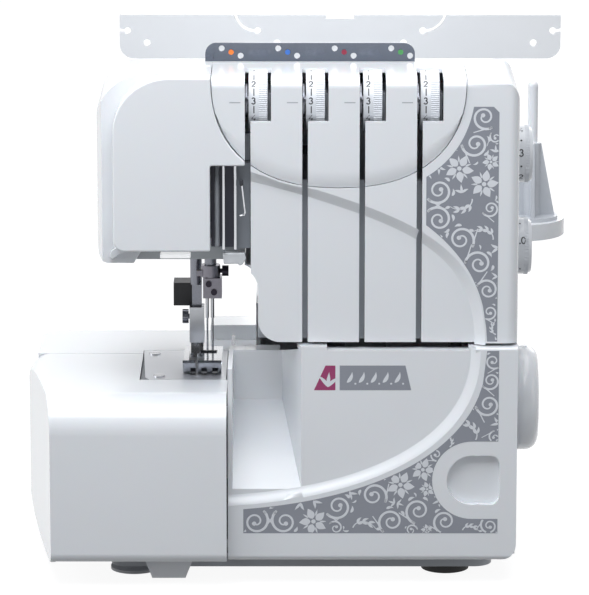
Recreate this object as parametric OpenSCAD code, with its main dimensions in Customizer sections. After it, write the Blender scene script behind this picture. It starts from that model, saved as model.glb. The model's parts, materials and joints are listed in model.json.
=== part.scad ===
// Four-thread overlock machine (serger): cutting and overcasting machine with
// a head and arm on a bed, hinged covers, loopers, knives, tension dials and a
// rear stand for the thread cones.  Millimetres, +Z up, operator side at -Y.
// Every module is written in the design frame: X from the outermost left edge,
// Y from the front plane of the side cover, Z from the floor.  place() then
// moves the whole machine so that its origin is the centre of its footprint.

/* [Body] */
// Width of the upper body, from the head's left side to the right end
body_w = 226.5; // [215:0.5:250]
// Overhang of the side cover to the left of the head
side_overhang = 41; // [34:0.5:50]
// Height of the top of the arm
top_z = 277.5; // [265:0.5:300]
// Height of the cloth plate
bed_z = 105; // [100:0.5:110]
// Height of the lower body's top edge
lower_z = 132; // [128:0.5:136]
// Height of the underside of the head
head_z = 174.5; // [168:0.5:180]
// Lower edge of the face cover
face_z = 184; // [180:0.5:190]
// Left edge of the column
col_x = 128.5; // [126:0.5:132]
// Front plane of the upper body
front_y = 12; // [9:0.5:14]
// Rear plane of the upper body
arm_rear_y = 122; // [118:0.5:130]
// Rear plane of the lower body
bed_rear_y = 168; // [160:0.5:180]
// Wall thickness of the plastic shells
wall = 2.5; // [2:0.1:3]
// Clearance between neighbouring shells
shell_gap = 0.4; // [0.3:0.05:0.6]
// Dark gap between the lower and the upper body
body_gap = 1.6; // [1.4:0.1:3]

/* [Covers] */
// Right edge of the side cover
side_w = 111.5; // [110.5:0.5:112]
// Left edge of the side cover's front face
side_front_x = 17; // [10:0.5:20]
// Seam between the side cover and the bed
seam_y = 110; // [108:0.5:113]
// Lower edge of the covers
base_z = 14; // [13:0.5:16]
// Front plane of the looper cover
cover_y = 8; // [6:0.5:9]
// Depth of the large rounded recess in the fronts
recess_d = 3.2; // [1.5:0.1:4]
// Height of the rim of the waste chute
chute_rim_z = 119.5; // [114:0.5:121]
// Rear wall of the waste chute
chute_y = 54; // [46:0.5:56]
// Sideways travel that unlatches the looper cover
cover_travel = 10; // [6:0.5:12]

/* [Drive] */
// Height of the main shaft
shaft_z = 87; // [80:0.5:90]
// Distance of the main shaft from the front plane
shaft_y = 82; // [80:0.5:86]
// Radius of the main shaft
shaft_r = 5; // [4:0.25:6]
// Radius of the handwheel
wheel_r = 29; // [24:0.5:32]
// Width of the handwheel
wheel_w = 13.5; // [10:0.5:16]
// Radial running clearance of shafts in their bores
run_fit = 0.05; // [0.02:0.01:0.1]
// Radius of the motor's can
motor_r = 27; // [22:0.5:30]
// Radius of the motor pulley
pulley_r = 9; // [7:0.5:11]
// Radius of the belt pulley on the main shaft
big_pulley_r = 24; // [20:0.5:26]

/* [Sewing] */
// Distance of the needle bar from the side cover's right edge
needle_inset = 10; // [9:0.5:11]
// Needle bar centre, from the front
needle_y = 100; // [97:0.25:102]
// Radius of the needle bar and of the presser bar
bar_r = 3.3; // [2.8:0.1:3.6]
// Distance from the needle bar to the presser bar, to the left
presser_dx = 8.3; // [7.8:0.1:9.5]
// Distance from the needle bar to the presser bar, to the rear
presser_dy = 11; // [9:0.25:13]
// Thickness of the needle plate
plate_t = 1.8; // [1.4:0.1:2.4]
// Lift of the presser foot
foot_lift = 5; // [4:0.5:6]

/* [Tension dials] */
// Distance from one tension dial to the next
dial_pitch = 30.4; // [29:0.1:31.5]
// Centre of the first thread slot
slot_x = 123.2; // [122.6:0.1:124]
// Width of a thread slot
slot_w = 3; // [2.4:0.1:3.4]
// Radius of a tension dial
dial_r = 16; // [14.5:0.25:16.5]
// Width of a tension dial
dial_w = 10; // [9:0.25:10.5]
// Radius of the two adjusting dials on the right
side_dial_r = 15.4; // [13:0.25:17]

/* [Thread stand] */
// Width of the thread stand's shelf
stand_w = 260; // [240:1:270]
// Right end of the shelf, past the upper body
stand_over = 36.5; // [30:0.5:42]
// Height of the shelf's top
stand_z = 162.8; // [158:0.2:166]
// Rear edge of the shelf
stand_rear_y = 240; // [230:1:260]
// Spacing of the spool pins
pin_pitch = 74; // [66:1:76]
// Height of the spool pins above the shelf
pin_h = 80; // [70:1:90]
// Width of the thread guide bar
guide_bar_w = 251; // [230:1:260]
// Travel of each telescopic stage
stage_travel = 70; // [50:5:90]

/* [Hidden] */
$fn = 64;
e = 0.01;
head_x = side_overhang;
body_r = head_x + body_w;
upper_z = lower_z + body_gap;
stand_x1 = body_r + stand_over;
stand_x0 = stand_x1 - stand_w;
stand_cx = (stand_x0 + stand_x1) / 2;
total_w = stand_x1;
total_d = stand_rear_y;
split_y = front_y + 14;         // joint between front and rear shells
needle_x = side_w - needle_inset;
plate_y0 = needle_y - 52;       // needle plate, front edge
plate_y1 = needle_y + 17;       // needle plate, rear edge
plate_x0 = needle_x - 37.5;
plate_x1 = side_w - 0.8;
plate_z = bed_z - plate_t;
presser_x = needle_x - presser_dx;
presser_y = needle_y + presser_dy;
dial_y = front_y + dial_r + 3.5;
dial_z = top_z - dial_r + 0.5;
foot_z = bed_z + 0.3;           // sole of the presser foot
cover_top = lower_z;
cover_x0 = side_w + 0.6;
hinge_y = cover_y + 7;          // looper cover rod
hinge_z = base_z + 4;
rod_r = 2.5;
post_r = 4.2;
pin_x = 4.5;                    // side cover hinge
pin_y = seam_y - 1.5;
pin_r = 1.5;
lug_r = 3.2;
arm_flat_y = front_y + 58;      // where the top starts to round off
arm_round = arm_rear_y - arm_flat_y;
pulley_x = body_r - 20;         // plane of the drive belt
pulley_w = 8;
motor_y = shaft_y + 48;
motor_z = base_z + 34;
recess_cx = 82;                 // centre of the large rounded recess
recess_a = 163;                 // its half width and half height
recess_low_b = 85.5;            // in the looper cover
recess_up_b = 91;               // in the front housing
recess_n = 2.3;
chute_x1 = cover_x0 + 41;       // right wall of the waste chute
chute_floor = base_z + 34.5;
panel_cx = col_x + 43;          // tension panel
panel_a = 67.5;
panel_b = 59;
lever_z = head_z + 5.5;         // pivot of the presser foot lever
lever_y = presser_y + 7;
lever_r = 2.8;
lever_pin_r = 1.2;
stand_y0 = arm_rear_y;
stand_r = 28;                   // rounded ends of the shelf
row_y = stand_rear_y - stand_r - 5;
stand_t = 3;
lip_h = 9.4;
stand_screw_x = [stand_cx - 35, stand_cx + 35];
bar_z0 = 258;                   // thread guide bar, lower edge
bar_h = 25;
head_r = 30;                    // big corner of the head
arm_r = 14;
edge_r = 6;
throat_r = 12;
foot_r = 12;
face_x0 = head_x + 10.5;        // face cover
bay_x0 = face_x0 + 51.7;        // needle window in the face
bay_z1 = top_z - 47.2;
panel_top_y = front_y + 46;
recess_top_x = head_x + 53;
recess_top_y = front_y + 38;
guide_x0 = panel_cx - 71.7;     // thread guide plate
guide_x1 = guide_x0 + 113.2;
guide_y = front_y + 54;
guide_t = 1.2;
guide_h = 10;
stud_r = 3;
bar_y = dial_y + dial_r + 6;    // frame bar behind the dials
lever_x0 = presser_x - bar_r - 9.4;
lever_x1 = presser_x + bar_r - 0.6;
lever_arm_x = presser_x - bar_r + 0.5;
side_dial_y = front_y + 58;
dial_hi_z = top_z - 51.5;
dial_lo_z = dial_hi_z - 51;
spindle_r = 3;
pan_x0 = 48;                    // base pan
pan_x1 = body_r - 12;
pan_y0 = cover_y + 16.5;
pan_z0 = 6;
foot_spots = [[60.5, 43.5], [body_r - 37, 45], [60, bed_rear_y - 22], [body_r - 28, bed_rear_y - 22]];
tab_x0 = 66;                    // light tab in front of the left foot
tab_x1 = 94;
tab_y = 12;
tab_z0 = 3.2;
wall_x = [[159, 166], [pulley_x - 12, pulley_x - 6]];
mast_x0 = 176;                  // upright of the frame
mast_x1 = 198;
arm_z = top_z - 77.5;           // guides of the needle bar and the presser bar
feed_z = bed_z - 0.4;
feed_slots = [needle_x - 9, needle_x - 3, needle_x + 3];
lower_looper_x = 79;
upper_looper_x = 139;
looper_z = 50;
knife_x = side_w + 1.7;
knife_py = 74;
knife_pz = 70;
post_x0 = cover_x0 + cover_travel + 4;
post_x1 = body_r - 9;
cover_lug_x = [post_x0 + 8, post_x1 - cover_travel - 10];
lug_zs = [30, 80];
lug_h = 8;
knuckle_z0 = 40;
knuckle_z1 = 78;
bed_step_x = col_x - 2;         // step from the bed up to the lower body's deck
bed_deck_y = seam_y + 8;
hump_x0 = bed_step_x - 26;
inlet_y0 = bed_rear_y - 42;
inlet_y1 = bed_rear_y - 16;
inlet_z0 = 24;
inlet_z1 = 56;
chute_rear_z = chute_rim_z - 27;
thumb_x0 = body_r - 37.6;       // D-shaped thumb recess in the looper cover
thumb_x1 = body_r - 9.3;
thumb_z0 = 45.2;
thumb_z1 = 72.6;
grip_x1 = body_r - 26.3;        // finger slot in the looper cover's top edge
grip_x0 = grip_x1 - 75.8;
grip_h = 2.1;
screw_spots = [[plate_x0 + 6, plate_y1 - 8], [plate_x0 + 10, plate_y0 + 8]];
clamp_z = 140;                  // needle clamp, lower face
needle_xs = [needle_x - 1.9, needle_x + 1];
screw_z = [clamp_z + 8.2, clamp_z + 3.6];
needle_tip_z = bed_z + 0.8;
holder_z0 = bed_z + 7.6;
holder_z1 = holder_z0 + 20;
lever_tip_z = bed_z + 26.2;
spool_r = 2.9;                  // free end of a spool pin, above its cone holder
root_r = 3.8;                   // root of a spool pin, inside its cone holder
holder_h = 44;
bar_reach = 13;                 // the guide bar stands this far ahead of the pins
mast_r = 5;

// ---------- helpers ----------
module place() { translate([-total_w / 2, -total_d / 2, 0]) children(); }

// 2-D outline in X and Z, extruded from y0 to y1
module front_extrude(y0, y1) {
    translate([0, y1, 0]) rotate([90, 0, 0]) linear_extrude(y1 - y0) children();
}
// 2-D outline in Y and Z, extruded from x0 to x1
module side_extrude(x0, x1) {
    translate([x0, 0, 0]) rotate([90, 0, 90]) linear_extrude(x1 - x0) children();
}
module up_extrude(z0, z1) { translate([0, 0, z0]) linear_extrude(z1 - z0) children(); }
module block(x0, x1, y0, y1, z0, z1) {
    translate([x0, y0, z0]) cube([x1 - x0, y1 - y0, z1 - z0]);
}
module rod_x(x0, x1, y, z, r) {
    translate([x0, y, z]) rotate([0, 90, 0]) cylinder(h = x1 - x0, r = r);
}
module rod_y(x, y0, y1, z, r) {
    translate([x, y0, z]) rotate([-90, 0, 0]) cylinder(h = y1 - y0, r = r);
}
module rod_z(x, y, z0, z1, r) { translate([x, y, z0]) cylinder(h = z1 - z0, r = r); }

// Removes what lies outside a rounded corner at (x, y); sx, sy point inwards
module corner(x, y, r, sx, sy) {
    difference() {
        translate([x - (sx < 0 ? r : 1), y - (sy < 0 ? r : 1)]) square(r + 1);
        translate([x + sx * r, y + sy * r]) circle(r);
    }
}
// Rounded rectangle from corner (x0, y0) to (x1, y1)
module round_rect(x0, x1, y0, y1, r) {
    difference() {
        translate([x0, y0]) square([x1 - x0, y1 - y0]);
        corner(x0, y0, r, 1, 1);
        corner(x1, y0, r, -1, 1);
        corner(x0, y1, r, 1, -1);
        corner(x1, y1, r, -1, -1);
    }
}
// Points of a superellipse, from angle a0 to a1
function oval(cx, cy, a, b, n, a0, a1, steps) = [for (i = [0:steps])
    let (t = a0 + (a1 - a0) * i / steps, c = cos(t), s = sin(t))
    [cx + a * sign(c) * pow(abs(c), 2 / n), cy + b * sign(s) * pow(abs(s), 2 / n)]];
module oval_area(cx, cy, a, b, n) { polygon(oval(cx, cy, a, b, n, 0, 360, 72)); }

// ---------- outlines of the upper body ----------
module upper_outline(i = 0) {
    low = i > 0 ? 1 : 0;
    difference() {
        union() {
            translate([head_x + i, head_z - low])
                square([body_w - 2 * i, top_z - i - head_z + low]);
            translate([col_x + i, upper_z - low])
                square([body_r - col_x - 2 * i, top_z - i - upper_z + low]);
            if (i == 0) difference() {
                translate([col_x - throat_r, head_z - throat_r]) square(throat_r + e);
                translate([col_x - throat_r, head_z - throat_r]) circle(throat_r);
            }
        }
        corner(head_x + i, top_z - i, head_r - i, 1, -1);
        corner(body_r - i, top_z - i, arm_r - i, -1, -1);
        if (i == 0) {
            corner(head_x, head_z, 8, 1, 1);
            corner(col_x, upper_z, foot_r, 1, 1);
        }
    }
}
// Side profile of the upper body: flat top that rounds off to the rear
module depth_outline(i = 0) {
    difference() {
        translate([front_y + i, upper_z - 1])
            square([arm_rear_y - front_y - 2 * i, top_z - i - upper_z + 1]);
        corner(arm_rear_y - i, top_z - i, arm_round - i, -1, -1);
        corner(front_y + i, top_z - i, edge_r - min(i, 2), 1, -1);
    }
}
// Plan of the upper body: the head's left side flares out to the rear
module plan_outline(i = 0) {
    difference() {
        polygon([[face_x0 + i, front_y - 3], [head_x + 5 + i, split_y - 4],
            [head_x + 1.5 + i, split_y + 12], [head_x + i, split_y + 34],
            [head_x + i, arm_rear_y + 1], [body_r - i, arm_rear_y + 1], [body_r - i, front_y - 3]]);
        corner(body_r - i, front_y, edge_r, -1, 1);
    }
}
module upper_solid(y0, y1, i = 0) {
    intersection() {
        front_extrude(y0, y1) upper_outline(i);
        side_extrude(head_x - 1, body_r + 1) depth_outline(i);
        up_extrude(upper_z - 2, top_z + 1) plan_outline(i);
    }
}
module panel_area(grow = 0) {
    intersection() {
        oval_area(panel_cx, top_z, panel_a + grow, panel_b + grow, 2.35);
        translate([panel_cx - 100, top_z - 100]) square([200, 101]);
    }
}
module recess_area(b, grow = 0) {
    polygon(oval(recess_cx, lower_z, recess_a + grow, b + grow, recess_n, 0, 360, 144));
}
module thumb_area(grow = 0) {
    r = (thumb_z1 - thumb_z0) / 2;
    translate([thumb_x0 + r, thumb_z0 + r]) circle(r + grow);
    round_rect(thumb_x0 + r, thumb_x1 + grow, thumb_z0 - grow, thumb_z1 + grow, 5);
}
module needle_window(y0, y1) {
    block(bay_x0, slot_x + slot_w / 2 + 0.3, y0, y1, face_z - 1, bay_z1);
}

// ---------- upper body ----------
module rear_housing() {
    color("white") difference() {
        union() {
            difference() {
                upper_solid(split_y + shell_gap, arm_rear_y);
                upper_solid(split_y - 1, arm_rear_y - wall, wall);
            }
            // front rim around the face cover
            intersection() {
                upper_solid(split_y + shell_gap, split_y + shell_gap + wall);
                front_extrude(split_y, split_y + 2 * wall) difference() {
                    translate([head_x - 1, head_z - 1]) square([slot_x - head_x - 8, top_z]);
                    face_outline(4);
                    polygon([[face_x0 + 9, head_z - 2], [face_x0 + 17, face_z + 1],
                        [slot_x + 1, face_z + 1], [slot_x + 1, head_z - 2]]);
                }
            }
            // boss on the frame's arm
            block(mast_x0 - 40, mast_x1 - 4, arm_rear_y - wall - 3, arm_rear_y - wall + e,
                arm_z + 2, arm_z + 20);
        }
        // opening under the tension panel's top
        block(panel_cx - panel_a - shell_gap, panel_cx + panel_a + shell_gap,
            split_y - 1, panel_top_y + shell_gap, top_z - wall - 1, top_z + 1);
        // slot for the thread guide plate
        block(guide_x0 - 0.3, guide_x1 + 0.3, guide_y - 0.3, guide_y + guide_t + 0.3,
            top_z - wall - 4, top_z + 1);
        // notch for the presser foot lever
        block(lever_arm_x - 0.6, lever_x1 + 0.6, arm_rear_y - wall - 1, arm_rear_y + 1,
            head_z - 1, lever_z + 4);
        // oval recess in the top of the head
        translate([recess_top_x, recess_top_y, top_z - 1.6]) {
            for (d = [-5, 5]) translate([d, 0, 0]) cylinder(h = 3, r = 4);
            translate([-5, -4, 0]) cube([10, 8, 3]);
        }
        for (z = [dial_hi_z, dial_lo_z])
            rod_x(body_r - 8, body_r + 1, side_dial_y, z, spindle_r + 0.3);
        for (x = stand_screw_x) rod_y(x, arm_rear_y - 8, arm_rear_y + 1, stand_z - 9, 2.2);
    }
}
module front_zone() {
    intersection() {
        upper_outline();
        translate([slot_x + slot_w / 2, upper_z - 1]) square([body_w, top_z]);
    }
}
module front_inner() {
    intersection() {
        upper_outline(wall);
        translate([slot_x + slot_w / 2 + wall, upper_z - 2]) square([body_w, top_z]);
    }
}
module front_housing() {
    color("white") difference() {
        union() {
            difference() {
                intersection() {
                    front_extrude(front_y, split_y) front_zone();
                    upper_solid(front_y, split_y);
                }
                front_extrude(front_y + wall + recess_d, split_y + 1) front_inner();
                front_extrude(front_y + wall, split_y + 1) difference() {
                    front_inner();
                    recess_area(recess_up_b, wall);
                }
            }
            // ribs that carry the thread slots
            for (k = [1:3]) block(slot_at(k) - 4, slot_at(k) + 4, front_y + recess_d,
                split_y, upper_z, top_z - panel_b);
        }
        front_extrude(front_y - 1, front_y + recess_d) recess_area(recess_up_b);
        front_extrude(front_y - 1, split_y + 1) panel_area(shell_gap);
        for (k = [1:3]) block(slot_at(k) - slot_w / 2, slot_at(k) + slot_w / 2, front_y - 1,
            split_y - 2, upper_z - 1, top_z - 20);
    }
}
module face_cover() {
    color("white") difference() {
        front_extrude(front_y - 2, split_y) face_outline();
        front_extrude(front_y - 2 + wall, split_y + 1) face_outline(wall);
        front_extrude(front_y - 3, split_y + 1) panel_area(shell_gap);
        needle_window(front_y - 3, split_y + 1);
    }
}
module face_outline(i = 0) {
    difference() {
        translate([face_x0 + i, face_z + i])
            square([slot_x - slot_w / 2 - face_x0 - 2 * i, top_z - face_z - 2 * i]);
        corner(face_x0 + i, top_z - i, head_r - i, 1, -1);
        corner(face_x0 + i, face_z + i, 6 - i / 2, 1, 1);
    }
}
module tension_panel() {
    color("white") difference() {
        intersection() {
            union() {
                front_extrude(front_y - 1, front_y + wall) panel_area();
                block(panel_cx - panel_a, panel_cx + panel_a, front_y - 1, panel_top_y,
                    top_z - wall, top_z);
            }
            side_extrude(panel_cx - panel_a - 1, panel_cx + panel_a + 1) difference() {
                translate([front_y - 1, top_z - 100]) square([80, 100]);
                corner(front_y - 1, top_z, edge_r, 1, -1);
            }
        }
        for (k = [0:3]) {
            block(slot_at(k) - slot_w / 2, slot_at(k) + dial_w + 2.4, front_y - 2, dial_y + 12,
                dial_z - 8, top_z + 1);
            block(slot_at(k) - slot_w / 2, slot_at(k) + slot_w / 2, front_y - 2, front_y + 9,
                top_z - 100, top_z - 20);
        }
    }
}
module head_casting() {
    color("dimgray") difference() {
        union() {
            block(head_x + 14, slot_x - 2, split_y + 8, presser_y + 4, head_z + 0.5, face_z - 1);
            block(head_x + 14, mast_x0, split_y + 40, presser_y - 14, face_z - 8, face_z - 1);
            // ears of the lever's pin
            for (x = [lever_arm_x - 3.5, lever_x1 + 0.5])
                block(x, x + 3, presser_y + 3, lever_y + 1.3, lever_z - 2.5, lever_z + 2.5);
        }
        rod_z(needle_x, needle_y, head_z - 1, face_z, bar_r + 0.5);
        // pocket that the needle clamp rises into
        block(needle_x - 8.5, needle_x + 11, needle_y - 8, needle_y + 7, head_z - 1, clamp_z + 38);
        rod_z(presser_x, presser_y, head_z - 1, face_z, bar_r + 0.5);
        block(lever_arm_x - 0.4, lever_x1 + 0.4, presser_y, lever_y + 4, head_z - 1, face_z);
    }
    color("silver") rod_x(lever_arm_x - 3, lever_x1 + 3, lever_y, lever_z, lever_pin_r);
}
module needle_bay() {
    color("silver") {
        // bright channel beside the needle bar
        block(bay_x0 + 6.4, bay_x0 + 14, split_y - 4, split_y - 2.8, face_z, bay_z1);
        for (x = [bay_x0 + 6.4, bay_x0 + 12.8])
            block(x, x + 1.2, split_y - 11, split_y - 4, face_z, bay_z1);
        block(bay_x0 + 14, slot_x + 1.2, split_y - 6, split_y - 2.8, face_z, bay_z1);
        block(bay_x0 + 0.3, slot_x + 1.2, split_y - 2.8, split_y - 0.4, face_z, bay_z1);
    }
}
module thread_hook() {
    x = slot_x - 1.5;
    y = front_y + 2;
    z0 = bay_z1 - 28;
    z1 = bay_z1 - 8;
    color("silver") {
        rod_y(x, y, split_y - 6, z1, 0.6);
        rod_z(x, y, z0, z1, 0.6);
        rod_x(x - 2.5, x, y, z0, 0.6);
        for (z = [z0, z1]) translate([x, y, z]) sphere(0.8);
    }
}
module thread_guide_plate() {
    color("gray") difference() {
        front_extrude(guide_y, guide_y + guide_t) difference() {
            translate([guide_x0, top_z - 6]) square([guide_x1 - guide_x0, guide_h + 6]);
            corner(guide_x0, top_z + guide_h, 6, 1, -1);
            corner(guide_x1, top_z + guide_h, 6, -1, -1);
        }
        for (k = [0:3]) {
            rod_y(guide_hole(k) - 5.1, guide_y - 1, guide_y + 3, top_z + guide_h - 3, 1.6);
            rod_y(guide_hole(k) + 5.1, guide_y - 1, guide_y + 3, top_z + guide_h - 7, 1.6);
        }
    }
    color("orange") for (k = [0:3])
        rod_y(guide_hole(k), guide_y - 0.3, guide_y, top_z + guide_h - 5, 1.5);
}

// ---------- tension units ----------
function slot_at(k) = slot_x + dial_pitch * k;
function guide_hole(k) = guide_x0 + 14 + 30.5 * k;
module tension_units() {
    color("silver") for (k = [0:3]) {
        x = slot_at(k);
        difference() {
            rod_x(x - 7, x + dial_w + 1.2, dial_y, dial_z, stud_r);
            rod_x(x - 8, x - 6, dial_y, dial_z, 1);
        }
        for (d = [-2.4, -1.2]) difference() {
            rod_x(x + d, x + d + 0.9, dial_y, dial_z, 9);
            rod_x(x + d - 1, x + d + 2, dial_y, dial_z, stud_r + run_fit);
        }
        block(x + dial_w + 1.2, x + dial_w + 2.2, dial_y - 5, bar_y, dial_z - 6, dial_z + 6);
    }
}
module tension_springs() {
    color("silver") for (k = [0:3]) translate([slot_at(k) - 6.9, dial_y, dial_z])
        rotate([0, 90, 0]) difference() {
            union() {
                cylinder(h = 4.2, r = stud_r + 1.1);
                for (z = [0.5:1.05:3.8]) translate([0, 0, z])
                    rotate_extrude() translate([stud_r + 1.1, 0]) circle(0.5, $fn = 24);
            }
            translate([0, 0, -1]) cylinder(h = 8, r = stud_r + run_fit);
        }
}
module tension_dial(k) {
    color("white") difference() {
        rod_x(slot_at(k) + 0.5, slot_at(k) + 0.5 + dial_w, dial_y, dial_z, dial_r);
        rod_x(slot_at(k) - 1, slot_at(k) + dial_w + 3, dial_y, dial_z, stud_r + run_fit);
    }
}
module thread_channels() {
    color("dimgray") {
        for (k = [1:3]) block(slot_at(k) - slot_w / 2 + 0.2, slot_at(k) + slot_w / 2 - 0.2,
            split_y - 3.4, split_y - 2, upper_z + 0.5, top_z - panel_b + 2);
        block(slot_x - slot_w / 2 - 3, slot_x + slot_w / 2 + 2, split_y + 0.2, split_y + 1.6,
            bay_z1 + 0.5, dial_z - dial_r - 1);
    }
}
module side_dial(z) {
    color("white") union() {
        rod_x(body_r + 0.6, body_r + 9.4, side_dial_y, z, side_dial_r);
        rod_x(body_r - 12, body_r + 1, side_dial_y, z, spindle_r);
    }
}
module stitch_length_dial() { side_dial(dial_hi_z); }
module differential_dial() { side_dial(dial_lo_z); }

// ---------- lower body ----------
module base_pan() {
    color("lightgray") difference() {
        up_extrude(pan_z0, base_z - 0.3)
            round_rect(pan_x0, pan_x1, pan_y0, bed_rear_y - 6, 10);
        up_extrude(pan_z0 + wall, base_z)
            round_rect(pan_x0 + wall, pan_x1 - wall, pan_y0 + wall, bed_rear_y - 6 - wall, 8);
        for (p = foot_spots) rod_z(p[0], p[1], pan_z0 - 1, pan_z0 + 3, 3.2);
    }
}
module rubber_foot(x, y, r) {
    rod_z(x, y, 0, pan_z0 - 2, r);
    rod_z(x, y, pan_z0 - 2 - e, pan_z0, r - 4);
    rod_z(x, y, pan_z0 - e, pan_z0 + wall + 1, 3);
    rod_z(x, y, pan_z0 + wall, pan_z0 + wall + 1.5, 4.4);
}
module rubber_feet() {
    color("black") for (i = [1:3]) rubber_foot(foot_spots[i][0], foot_spots[i][1], i == 1 ? 13 : 11);
}
module suction_foot() {
    color("black") {
        p = foot_spots[0];
        difference() {
            union() {
                rod_z(p[0], p[1], 0, 1.6, 13.2);
                translate([p[0], p[1], 1.6]) cylinder(h = 2.4, r1 = 13.2, r2 = 7);
            }
        }
        rod_z(p[0], p[1], 4 - e, pan_z0, 8);
        rod_z(p[0], p[1], pan_z0 - e, pan_z0 + wall + 1, 3);
        rod_z(p[0], p[1], pan_z0 + wall, pan_z0 + wall + 1.5, 4.4);
    }
}
module foot_bracket() {
    color("lightgray") {
        front_extrude(tab_y, tab_y + 2) polygon([[tab_x0, base_z + 2], [tab_x1, base_z + 2],
            [tab_x1 - 5, tab_z0], [tab_x0 + 5, tab_z0]]);
        block(tab_x0 + 3, tab_x1 - 3, tab_y + 2 - e, pan_y0 - 0.2, pan_z0 + 2, pan_z0 + 5);
    }
}
// Upright, arm and tension bar: one casting, bolted on the frame's base plate
module frame_arm() {
    color("gray") difference() {
        union() {
            block(mast_x0, mast_x1, shaft_y - 20, motor_y - motor_r - 1, base_z + 6, arm_z + 22);
            block(mast_x0, mast_x1, shaft_y - 20, shaft_y, arm_z, dial_z + 6);
            // arm with the guides of the two bars
            block(needle_x - 44, mast_x1, needle_y - 10, arm_rear_y - wall - 3, arm_z, arm_z + 22);
            // bar that carries the tension units
            block(slot_at(0) - 10, slot_at(3) + dial_w + 10, bar_y, bar_y + 4, dial_z - 14, dial_z + 6);
            block(mast_x0, mast_x1, bar_y + 3, shaft_y - 10, dial_z - 14, dial_z + 6);
        }
        rod_x(mast_x0 - 1, mast_x1 + 1, shaft_y, shaft_z, shaft_r + 4);
        rod_z(needle_x, needle_y, arm_z - 1, arm_z + 23, bar_r + run_fit);
        rod_z(presser_x, presser_y, arm_z - 1, arm_z + 23, bar_r + run_fit);
    }
}
module machine_frame() {
    color("gray") difference() {
        union() {
            block(pan_x0 + 6, pan_x1 - 4, 30, bed_rear_y - 10, base_z + 0.2, base_z + 6);
            for (x = wall_x) block(x[0], x[1], shaft_y - 20, motor_y + motor_r + 2, base_z + 5, shaft_z + 22);
            // support of the needle plate
            block(plate_x0, plate_x1 - 3, needle_y + 9, plate_y1, base_z + 5, plate_z);
            block(plate_x0, plate_x0 + 14, plate_y0 + 4, needle_y + 10, plate_z - 6, plate_z);
            block(plate_x1 - 2.6, plate_x1 + 0.2, needle_y - 16, needle_y + 10, plate_z - 22,
                plate_z - 14);
            block(plate_x0, plate_x1 + 0.2, needle_y + 6, needle_y + 12, plate_z - 22, plate_z - 14);
            // pedestal of the feed dog
            block(needle_x - 9, needle_x + 3, needle_y - 34, needle_y - 12, base_z + 5, feed_z - 22.3);
            // looper and knife bearings
            block(lower_looper_x - 8, lower_looper_x + 8, needle_y + 12, needle_y + 24,
                base_z + 5, looper_z + 9);
            block(upper_looper_x - 8, upper_looper_x + 8, needle_y + 12, needle_y + 24,
                base_z + 5, looper_z + 9);
            block(knife_x + 5, knife_x + 13, knife_py - 6, knife_py + 6, base_z + 5, knife_pz + 6);
            // posts of the looper cover's rod
            for (x = [post_x0, post_x1]) {
                rod_x(x, x + 4, hinge_y, hinge_z, post_r);
                block(x, x + 4, hinge_y, 31, base_z + 0.4, base_z + 6);
            }
        }
        rod_x(wall_x[0][0] - 1, pulley_x, shaft_y, shaft_z, shaft_r + 3);
        rod_x(wall_x[1][0] - 1, wall_x[1][1] + 1, motor_y, motor_z, 4.5);
        rod_y(lower_looper_x, needle_y + 8, needle_y + 25, looper_z, 3 + run_fit);
        rod_y(upper_looper_x, needle_y + 8, needle_y + 25, looper_z, 3 + run_fit);
        rod_x(knife_x + 4, knife_x + 14, knife_py, knife_pz, 3 + run_fit);
        for (x = [post_x0, post_x1]) rod_x(x - 1, x + 5, hinge_y, hinge_z, rod_r + run_fit);
    }
}
// Outer form of the lower body behind the covers
module bed_form(i) {
    low = i > 0 ? 1 : 0;
    intersection() {
        union() {
            block(pin_x + 0.4 + i, bed_step_x + 3 + i, seam_y + shell_gap + i, bed_rear_y - i,
                base_z - low, bed_z - i);
            block(bed_step_x + i, body_r - i, bed_deck_y + i, bed_rear_y - i,
                base_z - low, lower_z - i);
            block(hump_x0 + i, bed_step_x + 3 + i, bed_rear_y - 24 + i, bed_rear_y - i,
                base_z - low, bed_z + 8.5 - i);
        }
        up_extrude(0, lower_z + 1) difference() {
            translate([0, 0]) square([body_r, bed_rear_y + 1]);
            corner(pin_x + 0.4 + i, bed_rear_y - i, 14, 1, -1);
            corner(body_r - i, bed_rear_y - i, 8, -1, -1);
        }
    }
}
module bed_housing() {
    color("white") difference() {
        union() {
            difference() {
                bed_form(0);
                bed_form(wall);
                // open front behind the side cover
                block(pin_x + 0.4 + wall, bed_step_x + 20, seam_y - 1, seam_y + 6, base_z - 1, bed_z - wall);
                block(bed_step_x - 1, body_r - wall, bed_deck_y - 1, bed_deck_y + 6,
                    base_z - 1, lower_z - wall);
            }
            // right wall beside the looper cover
            block(body_r - wall, body_r, split_y - 4, bed_deck_y + 1, base_z, lower_z);
            rod_z(pin_x, pin_y, knuckle_z0, knuckle_z1, lug_r);
            block(pin_x + 0.4, pin_x + lug_r, pin_y, seam_y + 2, knuckle_z0, knuckle_z1);
            // bosses on the frame's wall plates
            for (x = wall_x) block(x[0], x[1], motor_y + motor_r + 2, bed_rear_y - wall + e,
                shaft_z - 20, shaft_z - 8);
        }
        for (z = lug_zs) rod_z(pin_x, pin_y, z - 0.4, z + lug_h + 0.4, lug_r + 0.4);
        rod_z(pin_x, pin_y, lug_zs[0] - 1, lug_zs[1] + lug_h + 1, pin_r + run_fit);
        rod_x(body_r - 5, body_r + 1, shaft_y, shaft_z, shaft_r + 2);
        block(body_r - 5, body_r + 1, inlet_y0, inlet_y1, inlet_z0, inlet_z1);
        // seat of the needle plate's rear edge
        block(plate_x0 - shell_gap, plate_x1 + shell_gap, seam_y - 1, plate_y1 + shell_gap,
            bed_z - wall - 1, bed_z + 1);
    }
}
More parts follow.
